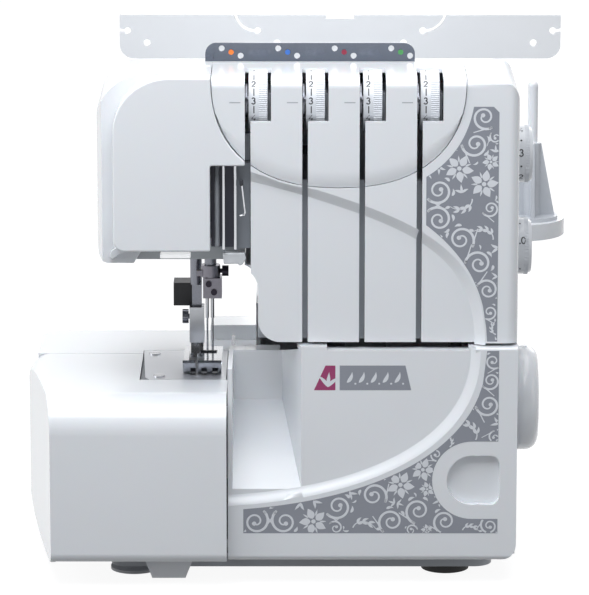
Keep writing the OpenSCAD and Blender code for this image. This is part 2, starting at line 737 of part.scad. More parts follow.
module side_cover_pin() {
    color("silver") rod_z(pin_x, pin_y, lug_zs[0] + 0.5, lug_zs[1] + lug_h - 0.5, pin_r);
}
module cover_rod() {
    color("silver") rod_x(post_x0 + 0.3, post_x1 + 3.7, hinge_y, hinge_z, rod_r);
}
module power_inlet() {
    color("black") difference() {
        block(body_r - 13.5, body_r + 0.6, inlet_y0 + 0.3, inlet_y1 - 0.3, inlet_z0 + 0.3, inlet_z1 - 0.3);
        block(body_r - 12, body_r + 1, inlet_y0 + 3, inlet_y1 - 3, inlet_z0 + 2.3, inlet_z0 + 15);
        block(body_r - 12, body_r + 1, inlet_y0 + 6, inlet_y1 - 6, inlet_z0 + 18.6, inlet_z1 - 3.6);
    }
    color("gold") for (dy = [-5, 5]) rod_x(body_r - 12 - e, body_r - 3,
        (inlet_y0 + inlet_y1) / 2 + dy, inlet_z0 + 8.6, 1.2);
    color("black") rod_y(body_r - 5, inlet_y0 + 4, inlet_y1 - 4, (inlet_z0 + 18.6 + inlet_z1 - 3.6) / 2, 1);
}
module power_switch() {
    zc = (inlet_z0 + 18.6 + inlet_z1 - 3.6) / 2;
    color("black") difference() {
        intersection() {
            rod_y(body_r - 5, inlet_y0 + 6.3, inlet_y1 - 6.3, zc, 6.5);
            block(body_r - 7, body_r + 1, inlet_y0, inlet_y1, zc - 4.2, zc + 4.2);
        }
        rod_y(body_r - 5, inlet_y0, inlet_y1, zc, 1 + run_fit);
    }
}

// ---------- covers ----------
module side_cover_form(i) {
    intersection() {
        front_extrude(i, seam_y - shell_gap + (i > 0 ? 2 : 0)) difference() {
            translate([i, base_z - (i > 0 ? 1 : 0)])
                square([side_w - i + (i > 0 ? 3 : 0), bed_z - i - base_z + (i > 0 ? 1 : 0)]);
            corner(i, bed_z - i, 12, 1, -1);
            if (i == 0) corner(0, base_z, 14, 1, 1);
        }
        side_extrude(-1, side_w + 4) difference() {
            translate([i, base_z - 2]) square([seam_y + 3, bed_z - i - base_z + 2]);
            corner(i, bed_z - i, 20 - i, 1, -1);
            if (i == 0) corner(0, base_z, 6, 1, 1);
        }
        up_extrude(base_z - 2, bed_z + 1) polygon([[side_front_x + i, i - 1], [side_w + 4, i - 1],
            [side_w + 4, seam_y + 3], [i, seam_y + 3], [i, seam_y - 4]]);
    }
}
module side_cover() {
    color("white") difference() {
        union() {
            difference() {
                side_cover_form(0);
                side_cover_form(wall);
                // notch for the needle plate
                block(plate_x0 - shell_gap, side_w + 5, plate_y0 - shell_gap, seam_y + 5,
                    bed_z - 10, bed_z + 1);
                // wall ends ahead of the hinge
                block(-1, pin_x, pin_y - 1, seam_y + 1, base_z - 1, bed_z + 1);
                rod_z(pin_x, pin_y, knuckle_z0 - 0.5, knuckle_z1 + 0.5, lug_r + 0.5);
            }
            for (z = lug_zs) {
                rod_z(pin_x, pin_y, z, z + lug_h, lug_r);
                block(wall - 1.4, pin_x + lug_r, pin_y - 9, pin_y, z, z + lug_h);
            }
        }
        rod_z(pin_x, pin_y, base_z, bed_z, pin_r + run_fit);
    }
}
module cover_outline(i = 0) {
    difference() {
        translate([cover_x0 + i, base_z + (i > 0 ? -1 : 0)])
            square([body_r - cover_x0 - 2 * i, cover_top - base_z - (i > 0 ? i - 1 : 0)]);
        corner(body_r - i, base_z, i > 0 ? 0.1 : 9, -1, 1);
    }
}
module chute_profile(i) {
    polygon([[cover_y - 2, chute_floor - i], [chute_y + i, chute_rear_z - i],
        [chute_y + i, i > 0 ? chute_rim_z : chute_rim_z + 20],
        [cover_y - 2 , i > 0 ? cover_top : cover_top + 20]]);
}
module chute_plan(i) {
    polygon([[cover_x0 + wall - i, cover_y - 3], [chute_x1 + i, cover_y - 3],
        [chute_x1 - 13 + i, chute_y + 5], [cover_x0 + wall - i, chute_y + 5]]);
}
module looper_cover() {
    color("white") difference() {
        union() {
            difference() {
                intersection() {
                    front_extrude(cover_y, cover_y + 12) cover_outline();
                    side_extrude(cover_x0 - 1, body_r + 1) difference() {
                        translate([cover_y, base_z]) square([12, cover_top - base_z]);
                        corner(cover_y, base_z, 3, 1, 1);
                        corner(cover_y, cover_top, 1.5, 1, -1);
                    }
                }
                front_extrude(cover_y + wall + recess_d, cover_y + 13) cover_outline(wall);
                front_extrude(cover_y + wall, cover_y + 13) difference() {
                    cover_outline(wall);
                    recess_area(recess_low_b, wall);
                    thumb_area(wall);
                }
                front_extrude(cover_y - 1, cover_y + recess_d) recess_area(recess_low_b);
                // no rim beside the side cover, below the chute
                block(cover_x0 - 1, cover_x0 + wall + e, cover_y + wall, cover_y + 13,
                    base_z - 1, chute_floor - 12);
            }
            // waste chute
            intersection() {
                side_extrude(cover_x0, chute_x1 + 5) chute_profile(wall);
                up_extrude(base_z, cover_top) chute_plan(wall);
                block(cover_x0, body_r, cover_y + recess_d, chute_y + 10, base_z, cover_top);
            }
            block(cover_x0, chute_x1 - 13, chute_y, chute_y + 15, chute_rim_z - 2, chute_rim_z);
            // lugs on the rod
            for (x = cover_lug_x) {
                rod_x(x, x + 6, hinge_y, hinge_z, 4.3);
                block(x, x + 6, cover_y + wall - e, hinge_y, hinge_z - 2.5, hinge_z + 3.5);
            }
        }
        intersection() {
            side_extrude(cover_x0 - 1, chute_x1 + 1) chute_profile(0);
            up_extrude(base_z, cover_top + 20) chute_plan(0);
        }
        // the chute's rim is lower than the rest of the top edge
        block(cover_x0 - 1, cover_x0 + wall + e, cover_y - 1, chute_y + 20,
            chute_rim_z, cover_top + 1);
        front_extrude(cover_y - 1, cover_y + 4) thumb_area();
        // finger slot in the top edge
        block(grip_x0, grip_x1, cover_y - 1, cover_y + 14, cover_top - grip_h, cover_top + 1);
        rod_x(cover_lug_x[0] - 1, cover_lug_x[1] + 8, hinge_y, hinge_z, rod_r + run_fit);
    }
}
module cover_slide_bush() {
    color("dimgray") difference() {
        rod_x(cover_lug_x[0] + 6.4, cover_lug_x[1] - 0.4, hinge_y, hinge_z, 3.8);
        rod_x(cover_lug_x[0], cover_lug_x[1] + 8, hinge_y, hinge_z, rod_r + run_fit);
    }
}

// ---------- drive ----------
module main_shaft() {
    color("silver") {
        rod_x(wall_x[0][0] - 8, body_r + wheel_w + 1, shaft_y, shaft_z, shaft_r);
        rod_x(wall_x[0][0] - 8, wall_x[0][0] - 1, shaft_y, shaft_z, 13);
        rod_x(wall_x[0][0] - 14, wall_x[0][0] - 8 + e, shaft_y, shaft_z + 8, 3);
    }
}
module shaft_bearings() {
    color("gold") for (x = wall_x) difference() {
        rod_x(x[0] - 0.6, x[1] + 0.6, shaft_y, shaft_z, shaft_r + 3 - 0.02);
        rod_x(x[0] - 2, x[1] + 2, shaft_y, shaft_z, shaft_r + run_fit);
    }
}
module handwheel() {
    color("white") difference() {
        union() {
            rod_x(body_r + 1, body_r + wheel_w - 1.5, shaft_y, shaft_z, wheel_r);
            rod_x(body_r + wheel_w - 1.6, body_r + wheel_w + 1, shaft_y, shaft_z, wheel_r - 2.5);
        }
        rod_x(body_r + 3.5, body_r + wheel_w - 3, shaft_y, shaft_z, 0.5);
        rod_x(body_r - 1, body_r + wheel_w + 2, shaft_y, shaft_z, shaft_r + 0.02);
    }
}
module belt_pulley() {
    color("dimgray") difference() {
        union() {
            rod_x(pulley_x - pulley_w / 2, pulley_x + pulley_w / 2, shaft_y, shaft_z, big_pulley_r);
            for (s = [-1, 1]) rod_x(pulley_x + s * (pulley_w / 2 - 0.5) - 0.5,
                pulley_x + s * (pulley_w / 2 - 0.5) + 0.5, shaft_y, shaft_z, big_pulley_r + 2);
        }
        rod_x(pulley_x - 9, pulley_x + 9, shaft_y, shaft_z, shaft_r + 0.02);
    }
}
module motor_pulley() {
    color("dimgray") {
        rod_x(pulley_x - pulley_w / 2, pulley_x + pulley_w / 2, motor_y, motor_z, pulley_r);
        for (s = [-1, 1]) rod_x(pulley_x + s * (pulley_w / 2 - 0.5) - 0.5,
            pulley_x + s * (pulley_w / 2 - 0.5) + 0.5, motor_y, motor_z, pulley_r + 2);
        rod_x(wall_x[1][0] - 12, pulley_x, motor_y, motor_z, 3);
    }
}
module drive_belt() {
    color("black") translate([pulley_x - 2.5, 0, 0]) rotate([90, 0, 90]) linear_extrude(5)
        difference() {
            hull() {
                translate([shaft_y, shaft_z]) circle(big_pulley_r + 1.7);
                translate([motor_y, motor_z]) circle(pulley_r + 1.7);
            }
            hull() {
                translate([shaft_y, shaft_z]) circle(big_pulley_r + 0.3);
                translate([motor_y, motor_z]) circle(pulley_r + 0.3);
            }
        }
}
module motor() {
    color("dimgray") difference() {
        union() {
            rod_x(wall_x[1][0] - 44, wall_x[1][0], motor_y, motor_z, motor_r);
            rod_x(wall_x[1][0] - 50, wall_x[1][0] - 44, motor_y, motor_z, 9);
        }
        rod_x(wall_x[1][0] - 14, wall_x[1][0] + 1, motor_y, motor_z, 3 + run_fit);
    }
}

// ---------- sewing parts ----------
module needle_plate() {
    color("silver") difference() {
        up_extrude(plate_z, bed_z) difference() {
            polygon([[plate_x0 + 5, plate_y0], [plate_x1, plate_y0], [plate_x1, plate_y1],
                [plate_x0, plate_y1], [plate_x0, plate_y1 - 6], [plate_x0 + 2.5, plate_y0 + 5]]);
            for (s = screw_spots) translate(s) circle(2.2);
            for (x = feed_slots) translate([x - 1.5, needle_y - 41]) square([3, 36]);
            translate([needle_x - 5.5, needle_y - 2.5]) square([9, 5]);
        }
    }
}
module screws() {
    color("silver") {
        for (s = screw_spots) difference() {
            union() {
                rod_z(s[0], s[1], plate_z, bed_z + 0.1, 2);
                rod_z(s[0], s[1], bed_z, bed_z + 0.6, 3.2);
            }
            block(s[0] - 4, s[0] + 4, s[1] - 0.4, s[1] + 0.4, bed_z + 0.2, bed_z + 1);
        }
        for (x = stand_screw_x) {
            rod_y(x, arm_rear_y - 6, arm_rear_y + 4.5, stand_z - 9, 2);
            rod_y(x, arm_rear_y + 4, arm_rear_y + 6, stand_z - 9, 4);
        }
    }
}
module needle_bar() {
    color("silver") rod_z(needle_x, needle_y, clamp_z + 5, arm_z + 34, bar_r);
}
module needle_clamp() {
    color("gray") difference() {
        union() {
            block(needle_x - 4.1, needle_x + 6.3, needle_y - 6, needle_y + 5.5, clamp_z, clamp_z + 11.3);
            rod_z(needle_x, needle_y, clamp_z + 11.3 - e, clamp_z + 18, 5.4);
            block(needle_x - 7.5, needle_x, needle_y - 3, needle_y + 3, clamp_z + 12, clamp_z + 15);
        }
        rod_z(needle_x, needle_y, clamp_z + 5, clamp_z + 19, bar_r + 0.02);
        for (x = needle_xs) rod_z(x, needle_y - 0.6, clamp_z - 1, clamp_z + 4.6, 1.02);
        for (i = [0, 1]) rod_y(needle_xs[i] + 1, needle_y - 7, needle_y - 2, screw_z[i], 1.3);
        rod_x(needle_x + 2, needle_x + 8, needle_y, clamp_z + 14.5, 1.3);
    }
}
module needles() {
    color("silver") for (x = needle_xs) {
        rod_z(x, needle_y - 0.6, clamp_z - 12, clamp_z + 4.4, 1);
        rod_z(x, needle_y - 0.6, needle_tip_z + 3, clamp_z - 12 + e, 0.6);
        translate([x, needle_y - 0.6, needle_tip_z]) cylinder(h = 3 + e, r1 = 0.15, r2 = 0.6);
    }
}
module clamp_screws() {
    color("dimgray") {
        for (i = [0, 1]) {
            rod_y(needle_xs[i] + 1, needle_y - 6, needle_y - 3.7, screw_z[i], 1.25);
            rod_y(needle_xs[i] + 1, needle_y - 7, needle_y - 6, screw_z[i], 1.7);
        }
        rod_x(needle_x + 3.5, needle_x + 7, needle_y, clamp_z + 14.5, 1.25);
        rod_x(needle_x + 6.4, needle_x + 10, needle_y, clamp_z + 14.5, 3);
    }
}
module presser_bar() {
    color("silver") {
        rod_z(presser_x, presser_y, holder_z1 + 12, arm_z + 30, bar_r);
        // flattened lower end
        block(presser_x - 2.2, presser_x + 3.2, presser_y - 3, presser_y + 3,
            holder_z1, holder_z1 + 12 + e);
    }
}
module foot_holder() {
    color("lightgray") difference() {
        block(presser_x - 3.6, presser_x + 4.6, presser_y - 7, presser_y + 4, holder_z0, holder_z1);
        rod_x(presser_x - 5, presser_x + 1, presser_y - 2, holder_z0 + 14, 1.5);
        block(presser_x - 4, presser_x + 5, presser_y - 1.6, presser_y + 1.6, holder_z0 - 1, holder_z0 + 4);
    }
}
module foot_screw() {
    color("silver") {
        rod_x(presser_x - 4.4, presser_x + 0.8, presser_y - 2, holder_z0 + 14, 1.45);
        rod_x(presser_x - 7.6, presser_x - 4.2, presser_y - 2, holder_z0 + 14, 4);
    }
}
module presser_foot() {
    color("silver") difference() {
        union() {
            side_extrude(needle_x - 14.5, needle_x + 6.5) polygon([
                [needle_y + 14, foot_z], [needle_y + 14, foot_z + 3], [needle_y - 36, foot_z + 3],
                [needle_y - 46, foot_z + 9], [needle_y - 48, foot_z + 8], [needle_y - 38, foot_z]]);
            block(presser_x - 1.6, presser_x + 1.6, presser_y - 6, presser_y + 3,
                foot_z + 3 - e, holder_z0 - 0.2);
            block(presser_x - 3, presser_x + 4, presser_y - 1.3, presser_y + 1.3,
                foot_z + 3 - e, holder_z0 + 3.6);
            // toe rails
            for (x = [needle_x - 14.5, needle_x + 3.5])
                block(x, x + 3, needle_y - 30, needle_y - 6, foot_z + 3 - e, foot_z + 5);
        }
        block(needle_x - 5.5, needle_x + 3.5, needle_y - 4, needle_y + 4, foot_z - 1, foot_z + 12);
        block(needle_x - 7.5, needle_x - 6.3, needle_y - 50, needle_y - 4, foot_z - 1, foot_z + 12);
    }
}
module presser_lever() {
    arm_y0 = presser_y + 4.5;
    color("black") difference() {
        union() {
            rod_x(lever_arm_x, lever_x1, lever_y, lever_z, lever_r);
            block(lever_arm_x, lever_x1, arm_y0, arm_y0 + 3.6, lever_tip_z + 8, lever_z);
            block(lever_x0, lever_x1, arm_y0, arm_y0 + 14, lever_tip_z, lever_tip_z + 13);
        }
        rod_x(lever_arm_x - 1, lever_x1 + 1, lever_y, lever_z, lever_pin_r + run_fit);
    }
}
module lower_looper() {
    color("silver") {
        rod_y(lower_looper_x, needle_y - 3, needle_y + 25.5, looper_z, 3);
        rod_y(lower_looper_x, needle_y - 3, needle_y + 8.5, looper_z, 6);
        block(lower_looper_x - 3, lower_looper_x + 3, needle_y - 3, needle_y + 1, looper_z,
            plate_z - 9);
        side = plate_z - 9;
        front_extrude(needle_y - 3, needle_y) polygon([[lower_looper_x - 3, side - 4],
            [lower_looper_x + 10, side - 3.5], [lower_looper_x + 16, side - 0.8],
            [lower_looper_x + 16, side], [lower_looper_x - 3, side + 1]]);
    }
}
module upper_looper() {
    color("silver") {
        rod_y(upper_looper_x, needle_y - 2, needle_y + 25.5, looper_z, 3);
        rod_y(upper_looper_x, needle_y - 2, needle_y + 9, looper_z, 6);
        front_extrude(needle_y + 2, needle_y + 5) polygon([[upper_looper_x - 4, looper_z],
            [upper_looper_x + 4, looper_z], [upper_looper_x + 3, looper_z + 26],
            [upper_looper_x - 14, looper_z + 44], [upper_looper_x - 22, plate_z + 1],
            [upper_looper_x - 21.4, plate_z - 4], [upper_looper_x - 16, looper_z + 38],
            [upper_looper_x - 4, looper_z + 24]]);
    }
}
module lower_knife() {
    color("silver") block(plate_x1 + 0.3, knife_x - 0.2, needle_y - 16, needle_y - 2,
        plate_z - 20, bed_z);
}
module upper_knife() {
    color("silver") {
        rod_x(knife_x - e, knife_x + 13.5, knife_py, knife_pz, 3);
        side_extrude(knife_x, knife_x + 2) polygon([[knife_py - 5, knife_pz - 5],
            [knife_py + 6, knife_pz - 5], [needle_y - 4, plate_z - 8], [needle_y - 4, bed_z + 14],
            [needle_y - 16, bed_z + 10], [needle_y - 16, plate_z - 10], [knife_py - 5, knife_pz + 5]]);
    }
}
module feed_dog() {
    color("silver") {
        block(needle_x - 12, needle_x + 6, needle_y - 34, needle_y - 12, feed_z - 9, feed_z - 5);
        block(needle_x - 7, needle_x + 1, needle_y - 28, needle_y - 18, feed_z - 22, feed_z - 9 + e);
        for (x = feed_slots) difference() {
            block(x - 0.9, x + 0.9, needle_y - 36, needle_y - 10, feed_z - 5 - e, feed_z);
            for (i = [0:11]) translate([x - 2, needle_y - 35.4 + 2.2 * i, feed_z]) rotate([45, 0, 0])
                cube([4, 1, 1]);
        }
    }
}
module lamp() {
    color("white") difference() {
        block(head_x + 20, head_x + 44, presser_y - 40, presser_y - 34, head_z - 3.5, head_z + 0.5);
        block(head_x + 22, head_x + 42, presser_y - 39, presser_y - 35, head_z - 4, head_z - 2);
    }
}

// ---------- thread stand ----------
module stadium(r, cut) {
    round_rect(stand_x0 + cut, stand_x1 - cut, stand_rear_y - 2 * stand_r + cut,
        stand_rear_y - cut, r - cut);
}
module spool_stand() {
    color("white") difference() {
        union() {
            difference() {
                union() {
                    up_extrude(stand_z - lip_h, stand_z) stadium(stand_r - e, 0);
                    block(stand_cx - 45, stand_cx + 45, arm_rear_y, stand_rear_y - stand_r,
                        stand_z - lip_h, stand_z);
                }
                up_extrude(stand_z - lip_h - 1, stand_z - stand_t) stadium(stand_r - e, wall);
                block(stand_cx - 45 + wall, stand_cx + 45 - wall, arm_rear_y + 4,
                    stand_rear_y - stand_r, stand_z - lip_h - 1, stand_z - stand_t);
            }
            // foot that bolts to the back of the arm
            block(stand_cx - 45, stand_cx + 45, arm_rear_y, arm_rear_y + 4, stand_z - 18, stand_z);
            rod_z(stand_cx, row_y, stand_z - lip_h, stand_z + 3, 9);
            for (k = [0:3]) rod_z(pin_at(k), row_y, stand_z - lip_h, stand_z - stand_t + e, 5);
        }
        for (k = [0:3]) rod_z(pin_at(k), row_y, stand_z - lip_h + 2, stand_z + 1, root_r + 0.02);
        rod_z(stand_cx, row_y, stand_z - lip_h - 1, stand_z + 4, mast_r + 0.02);
        for (x = stand_screw_x) rod_y(x, arm_rear_y - 1, arm_rear_y + 5, stand_z - 9, 2.1);
    }
}
module spool_pins() {
    color("white") for (k = [0:3]) {
        rod_z(pin_at(k), row_y, stand_z - lip_h + 2, stand_z + holder_h + 0.5, root_r);
        rod_z(pin_at(k), row_y, stand_z + holder_h + 0.5 - e, stand_z + pin_h - spool_r, spool_r);
        translate([pin_at(k), row_y, stand_z + pin_h - spool_r]) intersection() {
            sphere(spool_r);
            cylinder(h = 4, r = 4);
        }
    }
}
module cone_holders() {
    color("lightgray") for (k = [0:3]) translate([pin_at(k), row_y, stand_z]) difference() {
        union() {
            for (a = [0, 90]) rotate([90, 0, a]) translate([0, 0, -1]) linear_extrude(2)
                polygon([[-13, 2], [-root_r - 1.2, holder_h], [root_r + 1.2, holder_h], [13, 2]]);
            cylinder(h = 2, r = 15);
            cylinder(h = holder_h, r = root_r + 0.9);
        }
        translate([0, 0, -1]) cylinder(h = holder_h + 2, r = root_r + 0.1);
    }
}
module mast_base() {
    color("silver") difference() {
        rod_z(stand_cx, row_y, stand_z - lip_h, stand_z + 80, mast_r);
        rod_z(stand_cx, row_y, stand_z - lip_h + 2, stand_z + 81, mast_r - 1);
    }
}
module mast_stage() {
    color("silver") difference() {
        union() {
            rod_z(stand_cx, row_y, stand_z - lip_h + 2.5, stand_z + 86, mast_r - 1 - run_fit);
            rod_z(stand_cx, row_y, stand_z + 80.4, stand_z + 86, mast_r);
        }
        rod_z(stand_cx, row_y, stand_z - lip_h + 3.5, stand_z + 87, mast_r - 2);
    }
}
module guide_bar() {
    y0 = row_y - bar_reach;
    color("lightgray") difference() {
        union() {
            rod_z(stand_cx, row_y, stand_z - lip_h + 4, bar_z0 + bar_h - 6, mast_r - 2 - run_fit);
            rod_z(stand_cx, row_y, stand_z + 86.4, bar_z0 + bar_h - 6, mast_r);
            // arm from the mast to the bar
            block(stand_cx - 4, stand_cx + 4, y0 + 1, row_y, bar_z0 + 4, bar_z0 + bar_h - 6);
            front_extrude(y0, y0 + 2) difference() {
                translate([stand_cx - guide_bar_w / 2, bar_z0]) square([guide_bar_w, bar_h]);
                for (s = [-1, 1]) corner(stand_cx + s * guide_bar_w / 2, bar_z0, 8, -s, 1);
                translate([stand_cx - 8, bar_z0 + bar_h - 2]) square([16, 3]);
            }
        }
        for (k = [0:3]) {
            s = k < 2 ? 1 : -1;
            h = pin_at(k) - 10 * s;
            rod_y(h, y0 - 1, y0 + 3, bar_z0 + 16, 2);
            rod_y(h + 11 * s, y0 - 1, y0 + 3, bar_z0 + 9, 2);
            // open slot that runs from the top edge to the eye
            intersection() {
                front_extrude(y0 - 1, y0 + 3) translate([h - s, bar_z0 + 28]) difference() {
                    circle(12.8);
                    circle(11.2);
                }
                block(s > 0 ? h - 16 : h, s > 0 ? h : h + 16, y0 - 1, y0 + 3, bar_z0 + 14,
                    bar_z0 + bar_h + 1);
            }
        }
    }
}
function pin_at(k) = stand_cx + pin_pitch * (k - 1.5);

// ---------- one line for each node ----------
place() base_pan();
place() rubber_feet();
place() suction_foot();
place() foot_bracket();
place() machine_frame();
place() frame_arm();
place() bed_housing();
place() rear_housing();
place() front_housing();
place() face_cover();
place() tension_panel();
place() head_casting();
place() needle_plate();
place() needle_bay();
place() thread_hook();
place() thread_guide_plate();
place() tension_units();
place() tension_springs();
place() thread_channels();
place() shaft_bearings();
place() motor();
place() drive_belt();
place() spool_stand();
place() cone_holders();
place() spool_pins();
place() mast_base();
place() power_inlet();
place() lamp();
place() screws();
place() cover_rod();
place() side_cover_pin();
place() lower_knife();
place() handwheel();
place() main_shaft();
place() belt_pulley();
place() motor_pulley();
place() needle_bar();
place() needle_clamp();
place() needles();
place() clamp_screws();
place() presser_bar();
place() presser_foot();
place() foot_holder();
place() foot_screw();
place() presser_lever();
place() upper_looper();
place() lower_looper();
place() upper_knife();
place() feed_dog();
place() tension_dial(0);  // tension_dial_1
place() tension_dial(1);  // tension_dial_2
place() tension_dial(2);  // tension_dial_3
place() tension_dial(3);  // tension_dial_4
place() stitch_length_dial();
place() differential_dial();
place() looper_cover();
place() cover_slide_bush();
place() side_cover();
place() mast_stage();
place() guide_bar();
place() power_switch();
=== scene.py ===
import json
import math

import bmesh
import bpy
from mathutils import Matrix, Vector


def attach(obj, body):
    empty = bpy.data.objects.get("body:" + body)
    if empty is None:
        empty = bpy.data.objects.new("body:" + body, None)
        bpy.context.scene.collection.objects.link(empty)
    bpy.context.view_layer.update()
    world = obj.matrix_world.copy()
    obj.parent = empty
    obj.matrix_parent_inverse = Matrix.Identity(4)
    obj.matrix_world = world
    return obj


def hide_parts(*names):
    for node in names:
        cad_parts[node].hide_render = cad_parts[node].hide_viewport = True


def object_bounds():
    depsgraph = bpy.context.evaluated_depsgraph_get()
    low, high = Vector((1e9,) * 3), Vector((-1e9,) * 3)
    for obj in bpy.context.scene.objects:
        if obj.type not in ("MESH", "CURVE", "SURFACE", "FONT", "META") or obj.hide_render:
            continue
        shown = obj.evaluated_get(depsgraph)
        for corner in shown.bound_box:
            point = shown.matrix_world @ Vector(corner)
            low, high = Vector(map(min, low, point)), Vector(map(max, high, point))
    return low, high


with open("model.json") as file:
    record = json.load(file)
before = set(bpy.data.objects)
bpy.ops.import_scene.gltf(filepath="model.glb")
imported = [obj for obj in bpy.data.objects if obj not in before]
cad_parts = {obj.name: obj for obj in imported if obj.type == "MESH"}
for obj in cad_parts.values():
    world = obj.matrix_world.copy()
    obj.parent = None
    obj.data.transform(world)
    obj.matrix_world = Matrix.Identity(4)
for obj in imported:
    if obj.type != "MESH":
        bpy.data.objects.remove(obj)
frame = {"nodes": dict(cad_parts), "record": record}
cad_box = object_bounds()
nodes = frame["nodes"]
bpy.context.scene.view_settings.view_transform = "Standard"

MM = 0.001
# Corner of the part's own drawing, in the row frame: the drawing counts X from the left,
# Y from the front and Z from the table, in millimetres.
CORNER = Vector((cad_box[0][0], cad_box[0][1], 0.0))


def at(x, y, z):
    """A point of the drawing, in millimetres, as a place in the row frame."""
    return CORNER + Vector((x, y, z)) * MM


# ---------- sizes of the drawing, in mm
FRONT_Y = 12.0          # front plane of the upper body
COVER_Y = 8.0           # front plane of the looper cover
PANEL_Y = 11.0          # front plane of the dial panel
RIGHT_X = 267.5         # right wall of the body
COVER_TOP = 132.0       # joint between the looper cover and the upper body
HOUSING_LOW = 132.4     # lower edge of the upper body, above that joint
SLOTS = (123.2, 153.6, 184.0, 214.4)    # middles of the thread slots
SLOT_HALF = 1.5
# The oval recess across both covers: its middle, half width, half heights, power and depth.
RECESS_CX, RECESS_CZ, RECESS_A, RECESS_N, RECESS_DEEP = 82.0, COVER_TOP, 163.0, 2.3, 3.2
RECESS_B_UP, RECESS_B_LOW = 91.0, 85.5
RECESS_FRONT = COVER_Y + RECESS_DEEP    # floor of the recess in the looper cover
BAND_UP, BAND_LOW = 5.0, 2.6            # reach of the sloping band outside the recess
# The D shaped dial panel: its middle, half sizes and power.
PANEL_CX, PANEL_CZ, PANEL_A, PANEL_B, PANEL_N = 171.5, 277.5, 67.5, 59.0, 2.35
SAG_X0, SAG_X1, SAG_DEPTH = 130.0, 234.0, 4.2   # where the upper recess lies lower than its oval
DIAL_Y, DIAL_Z, DIAL_R = 31.5, 262.0, 16.0      # tension dials
SIDE_DIAL_Y, SIDE_DIAL_R = 70.0, 15.4           # dials on the right wall
SHAFT_Y, SHAFT_Z = 82.0, 87.0                   # main shaft
# The handwheel: radius, width, the rounding of its rim and the gap to the wall.
WHEEL_R, WHEEL_W, WHEEL_EDGE, WHEEL_GAP = 29.0, 13.5, 7.0, 1.0
BAY_LOW, BAY_TOP = 184.4, 230.0                 # needle window


# ---------- camera
CAM_TILT = math.radians(12.5)
CAM_DISTANCE = 2.4
CAM_TARGET = Vector((-0.004, -0.010, 0.137015))
CAM_SENSOR, CAM_LENS = 36.0, 260.65     # height of the sensor and focal length, in mm


def add_camera():
    data = bpy.data.cameras.new("camera")
    data.sensor_fit = "VERTICAL"
    data.sensor_height = CAM_SENSOR
    data.lens = CAM_LENS
    data.clip_end = 50.0
    cam = bpy.data.objects.new("camera", data)
    back = Vector((0.0, -math.cos(CAM_TILT), math.sin(CAM_TILT)))
    cam.location = CAM_TARGET + CAM_DISTANCE * back
    cam.rotation_euler = (math.pi / 2 - CAM_TILT, 0.0, 0.0)
    bpy.context.scene.collection.objects.link(cam)
    bpy.context.scene.camera = cam


# ---------- light and floor
def area_light(name, place, target, size, watts, tint=(1.0, 1.0, 1.0)):
    data = bpy.data.lights.new(name, "AREA")
    data.shape = "RECTANGLE"
    data.size, data.size_y = size
    data.energy = watts
    data.color = tint
    lamp = bpy.data.objects.new(name, data)
    lamp.location = place
    lamp.rotation_euler = (Vector(target) - Vector(place)).to_track_quat("-Z", "Y").to_euler()
    bpy.context.scene.collection.objects.link(lamp)


def add_lights():
    area_light("key", (-0.12, -0.46, 0.74), (0.0, 0.0, 0.26), (0.6, 0.4), 3.9, (0.95, 0.97, 1.0))
    area_light("left", (-1.9, -0.5, 0.9), (0.0, 0.0, 0.12), (1.2, 1.2), 13.5)
    area_light("fill", (1.8, -0.8, 0.6), (0.0, 0.0, 0.12), (1.0, 1.2), 4.6)
    area_light("top", (0.0, 0.1, 1.7), (0.0, 0.0, 0.1), (1.6, 1.4), 15.5)
    area_light("back", (0.5, 1.9, 0.8), (0.0, 0.1, 0.12), (1.2, 1.0), 6.0)


def camera_or_mirror(tree):
    """1 where a ray comes from the camera, a mirror or glass."""
    path = tree.nodes.new("ShaderNodeLightPath")
    found = path.outputs["Is Camera Ray"]
    for kind in ("Is Glossy Ray", "Is Transmission Ray"):
        either_ray = tree.nodes.new("ShaderNodeMath")
        either_ray.operation = "MAXIMUM"
        tree.links.new(found, either_ray.inputs[0])
        tree.links.new(path.outputs[kind], either_ray.inputs[1])
        found = either_ray.outputs[0]
    return found


def map_range(tree, source, low, high, to_low=0.0, to_high=1.0):
    """Carries a value from one range to another."""
    node = tree.nodes.new("ShaderNodeMapRange")
    for socket, value in (("From Min", low), ("From Max", high), ("To Min", to_low), ("To Max", to_high)):
        node.inputs[socket].default_value = value
    tree.links.new(source, node.inputs["Value"])
    return node.outputs[0]


def either(tree, factor, first, second):
    """The first shader where the factor is 0, and the second where it is 1."""
    node = tree.nodes.new("ShaderNodeMixShader")
    tree.links.new(factor, node.inputs["Fac"])
    tree.links.new(first, node.inputs[1])
    tree.links.new(second, node.inputs[2])
    return node.outputs[0]


# Dark and light bands of the room in front, from left (0) to right (1): place and brightness.
ROOM_BANDS = ((0.36, 1.0), (0.42, 0.16), (0.50, 0.2), (0.55, 1.0), (0.80, 0.95), (0.86, 0.3))
SOFT_SKY = 0.29         # brightness of the world that lights the object


def background(tree, colour=(1.0, 1.0, 1.0), strength=1.0):
    node = tree.nodes.new("ShaderNodeBackground")
    node.inputs["Color"].default_value = colour + (1.0,)
    node.inputs["Strength"].default_value = strength
    return node


